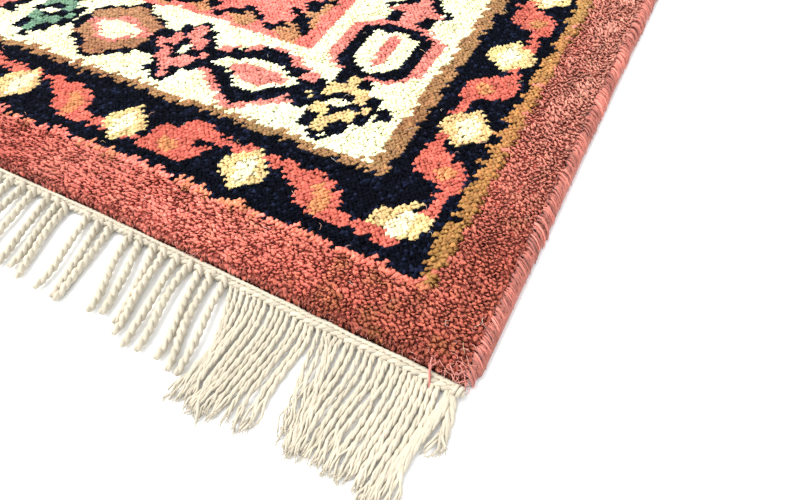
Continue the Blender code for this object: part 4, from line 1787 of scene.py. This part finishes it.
# The loose pink yarns at the corner: the radius in metres, then points as the distance in from
# the side, the distance out from the end and the height, in millimetres
PINK_YARNS = (
    (0.00068, (17.8, -3.8, 9.6), (17.5, -1.8, 8.9), (16.7, 0.4, 7.7), (16.2, 2.6, 6.1),
     (15.1, 4.5, 4.9), (14.4, 6.4, 3.4), (13.4, 8.2, 1.6)),
    (0.00042, (14.0, -3.4, 9.9), (15.2, -2.0, 9.2), (16.5, -0.6, 8.4), (16.9, 1.2, 7.1),
     (16.0, 2.8, 6.0), (14.7, 3.2, 5.9)),
    (0.00042, (9.0, -3.8, 10.2), (7.2, -2.2, 9.5), (5.6, -1.2, 8.6), (4.0, -1.6, 8.8),
     (3.1, -3.0, 9.6), (1.6, -4.4, 9.2)),
    (0.00038, (6.8, -1.0, 8.2), (5.2, 0.5, 6.9), (3.4, 0.9, 6.3), (1.8, 0.1, 6.7),
     (0.4, -1.0, 6.9), (-0.8, -2.6, 6.4)),
    (0.00038, (3.0, -4.2, 9.6), (1.4, -2.8, 8.2), (0.2, -1.2, 6.8), (-0.6, 0.4, 5.2),
     (-1.2, 1.8, 3.4)),
    (0.00034, (5.0, -5.2, 10.6), (3.4, -4.6, 9.9), (2.6, -3.0, 8.8), (3.6, -1.6, 8.4),
     (5.2, -2.2, 9.2)),
)


def lying_hairs(chance):
    """Stray fibres that curl on top of the pile."""
    x = chance.uniform(-PILE_WIDTH / 2, PILE_WIDTH / 2, HAIR_COUNT)
    y = chance.uniform(-PILE_LENGTH / 2, PILE_LENGTH / 2, HAIR_COUNT)
    heading = chance.uniform(0, 2 * math.pi, HAIR_COUNT)
    bend = chance.normal(0.0, HAIR_BEND, HAIR_COUNT)
    length = chance.uniform(*HAIR_LENGTHS, HAIR_COUNT)
    paths = np.empty((HAIR_COUNT, HAIR_STEPS, 3))
    for step in range(HAIR_STEPS):
        paths[:, step, 0] = x + side_shift(y)
        paths[:, step, 1] = y
        arch = HAIR_ARCH * math.sin(math.pi * step / (HAIR_STEPS - 1))
        paths[:, step, 2] = pile_height(x, y) + arch
        way = heading + bend * step / HAIR_STEPS
        x = np.clip(x + np.cos(way) * length / HAIR_STEPS, -PILE_WIDTH / 2, PILE_WIDTH / 2)
        y = np.clip(y + np.sin(way) * length / HAIR_STEPS, -PILE_LENGTH / 2, PILE_LENGTH / 2)
    shade = np.array(HAIR_COLOURS)[chance.integers(0, 3, HAIR_COUNT)]
    return paths, HAIR_RADIUS, shade


def fuzz_shades(chance, count):
    return FUZZ_COLOUR[None, :] * np.exp(chance.normal(0.0, FUZZ_SPREAD, (count, 1)))


def corner_fuzz(chance):
    """Longer curled fibres round each corner of the pile."""
    steps = CORNER_FUZZ_STEPS
    count = 4 * CORNER_FUZZ
    side = np.repeat((1.0, -1.0, 1.0, -1.0), CORNER_FUZZ)
    end = np.repeat((-1.0, -1.0, 1.0, 1.0), CORNER_FUZZ)
    x = side * (PILE_WIDTH / 2 - chance.exponential(CORNER_FUZZ_REACH, count) + 0.001)
    y = end * (PILE_LENGTH / 2 - chance.exponential(CORNER_FUZZ_REACH, count) + 0.001)
    heading = np.arctan2(end, side) + chance.normal(0.0, 1.3, count)
    bend = chance.normal(0.0, CORNER_FUZZ_BEND, count)
    length = chance.uniform(*CORNER_FUZZ_LENGTHS, count)
    height = pile_height(x, y) - 0.0006
    paths = np.empty((count, steps, 3))
    for step in range(steps):
        t = step / (steps - 1)
        paths[:, step, 0] = x + side_shift(y)
        paths[:, step, 1] = y + end_shift(x)
        paths[:, step, 2] = np.maximum(height + 0.0022 * t - 0.0032 * t * t, FIBRE_LOWEST)
        way = heading + bend * t
        x = x + np.cos(way) * length / steps
        y = y + np.sin(way) * length / steps
    return paths, CORNER_FUZZ_RADIUS, fuzz_shades(chance, count)


def edge_fuzz(chance):
    """Short fibres that stand out from the rim, the flanks and the bound sides."""
    steps = FUZZ_STEPS
    count = FUZZ_COUNT
    on_side = chance.random(count) < FUZZ_ON_SIDES
    sign = np.where(chance.random(count) < 0.5, -1.0, 1.0)
    run = chance.uniform(-1.0, 1.0, count)
    out = chance.uniform(-0.003, SELVEDGE_WIDTH, count)
    out = np.where(on_side, out, chance.uniform(-0.003, 0.0005, count))
    height = np.where(out < 0, THICKNESS + out * 0.3 - 0.001, SELVEDGE_HEIGHT)
    height = height * chance.uniform(0.6, 1.0, count)
    x = np.where(on_side, sign * (PILE_WIDTH / 2 + out), run * PILE_WIDTH / 2)
    y = np.where(on_side, run * PILE_LENGTH / 2, sign * (PILE_LENGTH / 2 + out))
    length = chance.uniform(*FUZZ_LENGTHS, count)
    away_x = np.where(on_side, sign, 0.0) + chance.normal(0.0, 0.7, count)
    away_y = np.where(on_side, 0.0, sign) + chance.normal(0.0, 0.7, count)
    rise = chance.normal(0.1, 0.5, count)
    paths = np.empty((count, steps, 3))
    for step in range(steps):
        t = step / (steps - 1)
        paths[:, step, 0] = x + away_x * length * t * 0.7 + side_shift(y)
        paths[:, step, 1] = y + away_y * length * t * 0.7 + end_shift(x)
        drop = height + rise * length * t - length * 0.5 * t * t
        paths[:, step, 2] = np.maximum(drop, FIBRE_LOWEST)
    return paths, FUZZ_RADIUS, fuzz_shades(chance, count)


def make_hairs(wool):
    """Stray fibres on the pile, fuzz at its edges and a loose pink yarn over the braid."""
    chance = np.random.default_rng(73)
    sets = [lying_hairs(chance), edge_fuzz(chance), corner_fuzz(chance)]
    for radius, *spots in PINK_YARNS:
        out_x, out_y, height = np.array(spots).T * MILLIMETRE
        x = PILE_WIDTH / 2 + side_shift(-PILE_LENGTH / 2) - out_x
        y = -PILE_LENGTH / 2 - out_y + end_shift(x)
        sets.append((np.stack([x, y, height], axis=1)[None], radius, YARN_PINK[None, :]))
    shapes = []
    tones = []
    for paths, radius, shade in sets:
        points, faces = tubes(paths, np.full(paths.shape[:2], radius), 3)
        shapes.append((points, faces))
        tones.append(np.repeat(shade, len(points) // len(shade), axis=0))
    points, faces = joined(shapes)
    piece = mesh_piece("stray_fibres", points, faces, wool)
    paint(piece, np.clip(np.concatenate(tones), 0, 1))
    return piece


def settle(piece, slot, *nodes):
    """Give a piece its body and hide the solids it stands for; the material slot is not used."""
    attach(piece, "root")
    if nodes:
        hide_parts(*nodes)


def main():
    make_camera()
    make_light()
    make_floor()
    wool = yarn_material("wool_binding", *WOOL_LOOK)
    cotton = yarn_material("cotton_fringe", *COTTON_LOOK)
    ground = make_ground()
    settle(ground, "wool_pile", "rug_body")
    for piece in make_pile() + [make_hairs(wool)]:
        settle(piece, "wool_pile", "rug_body")
    for side_name, side in (("right", 1), ("left", -1)):
        piece = make_selvedge(side_name, side, wool)
        settle(piece, "wool_binding", "selvedge_" + side_name)
    for end, seed, turn in FRINGE_ENDS:
        for piece in make_fringe(end, seed, turn, cotton):
            settle(piece, "cotton_fringe", "fringe_" + end)


main()
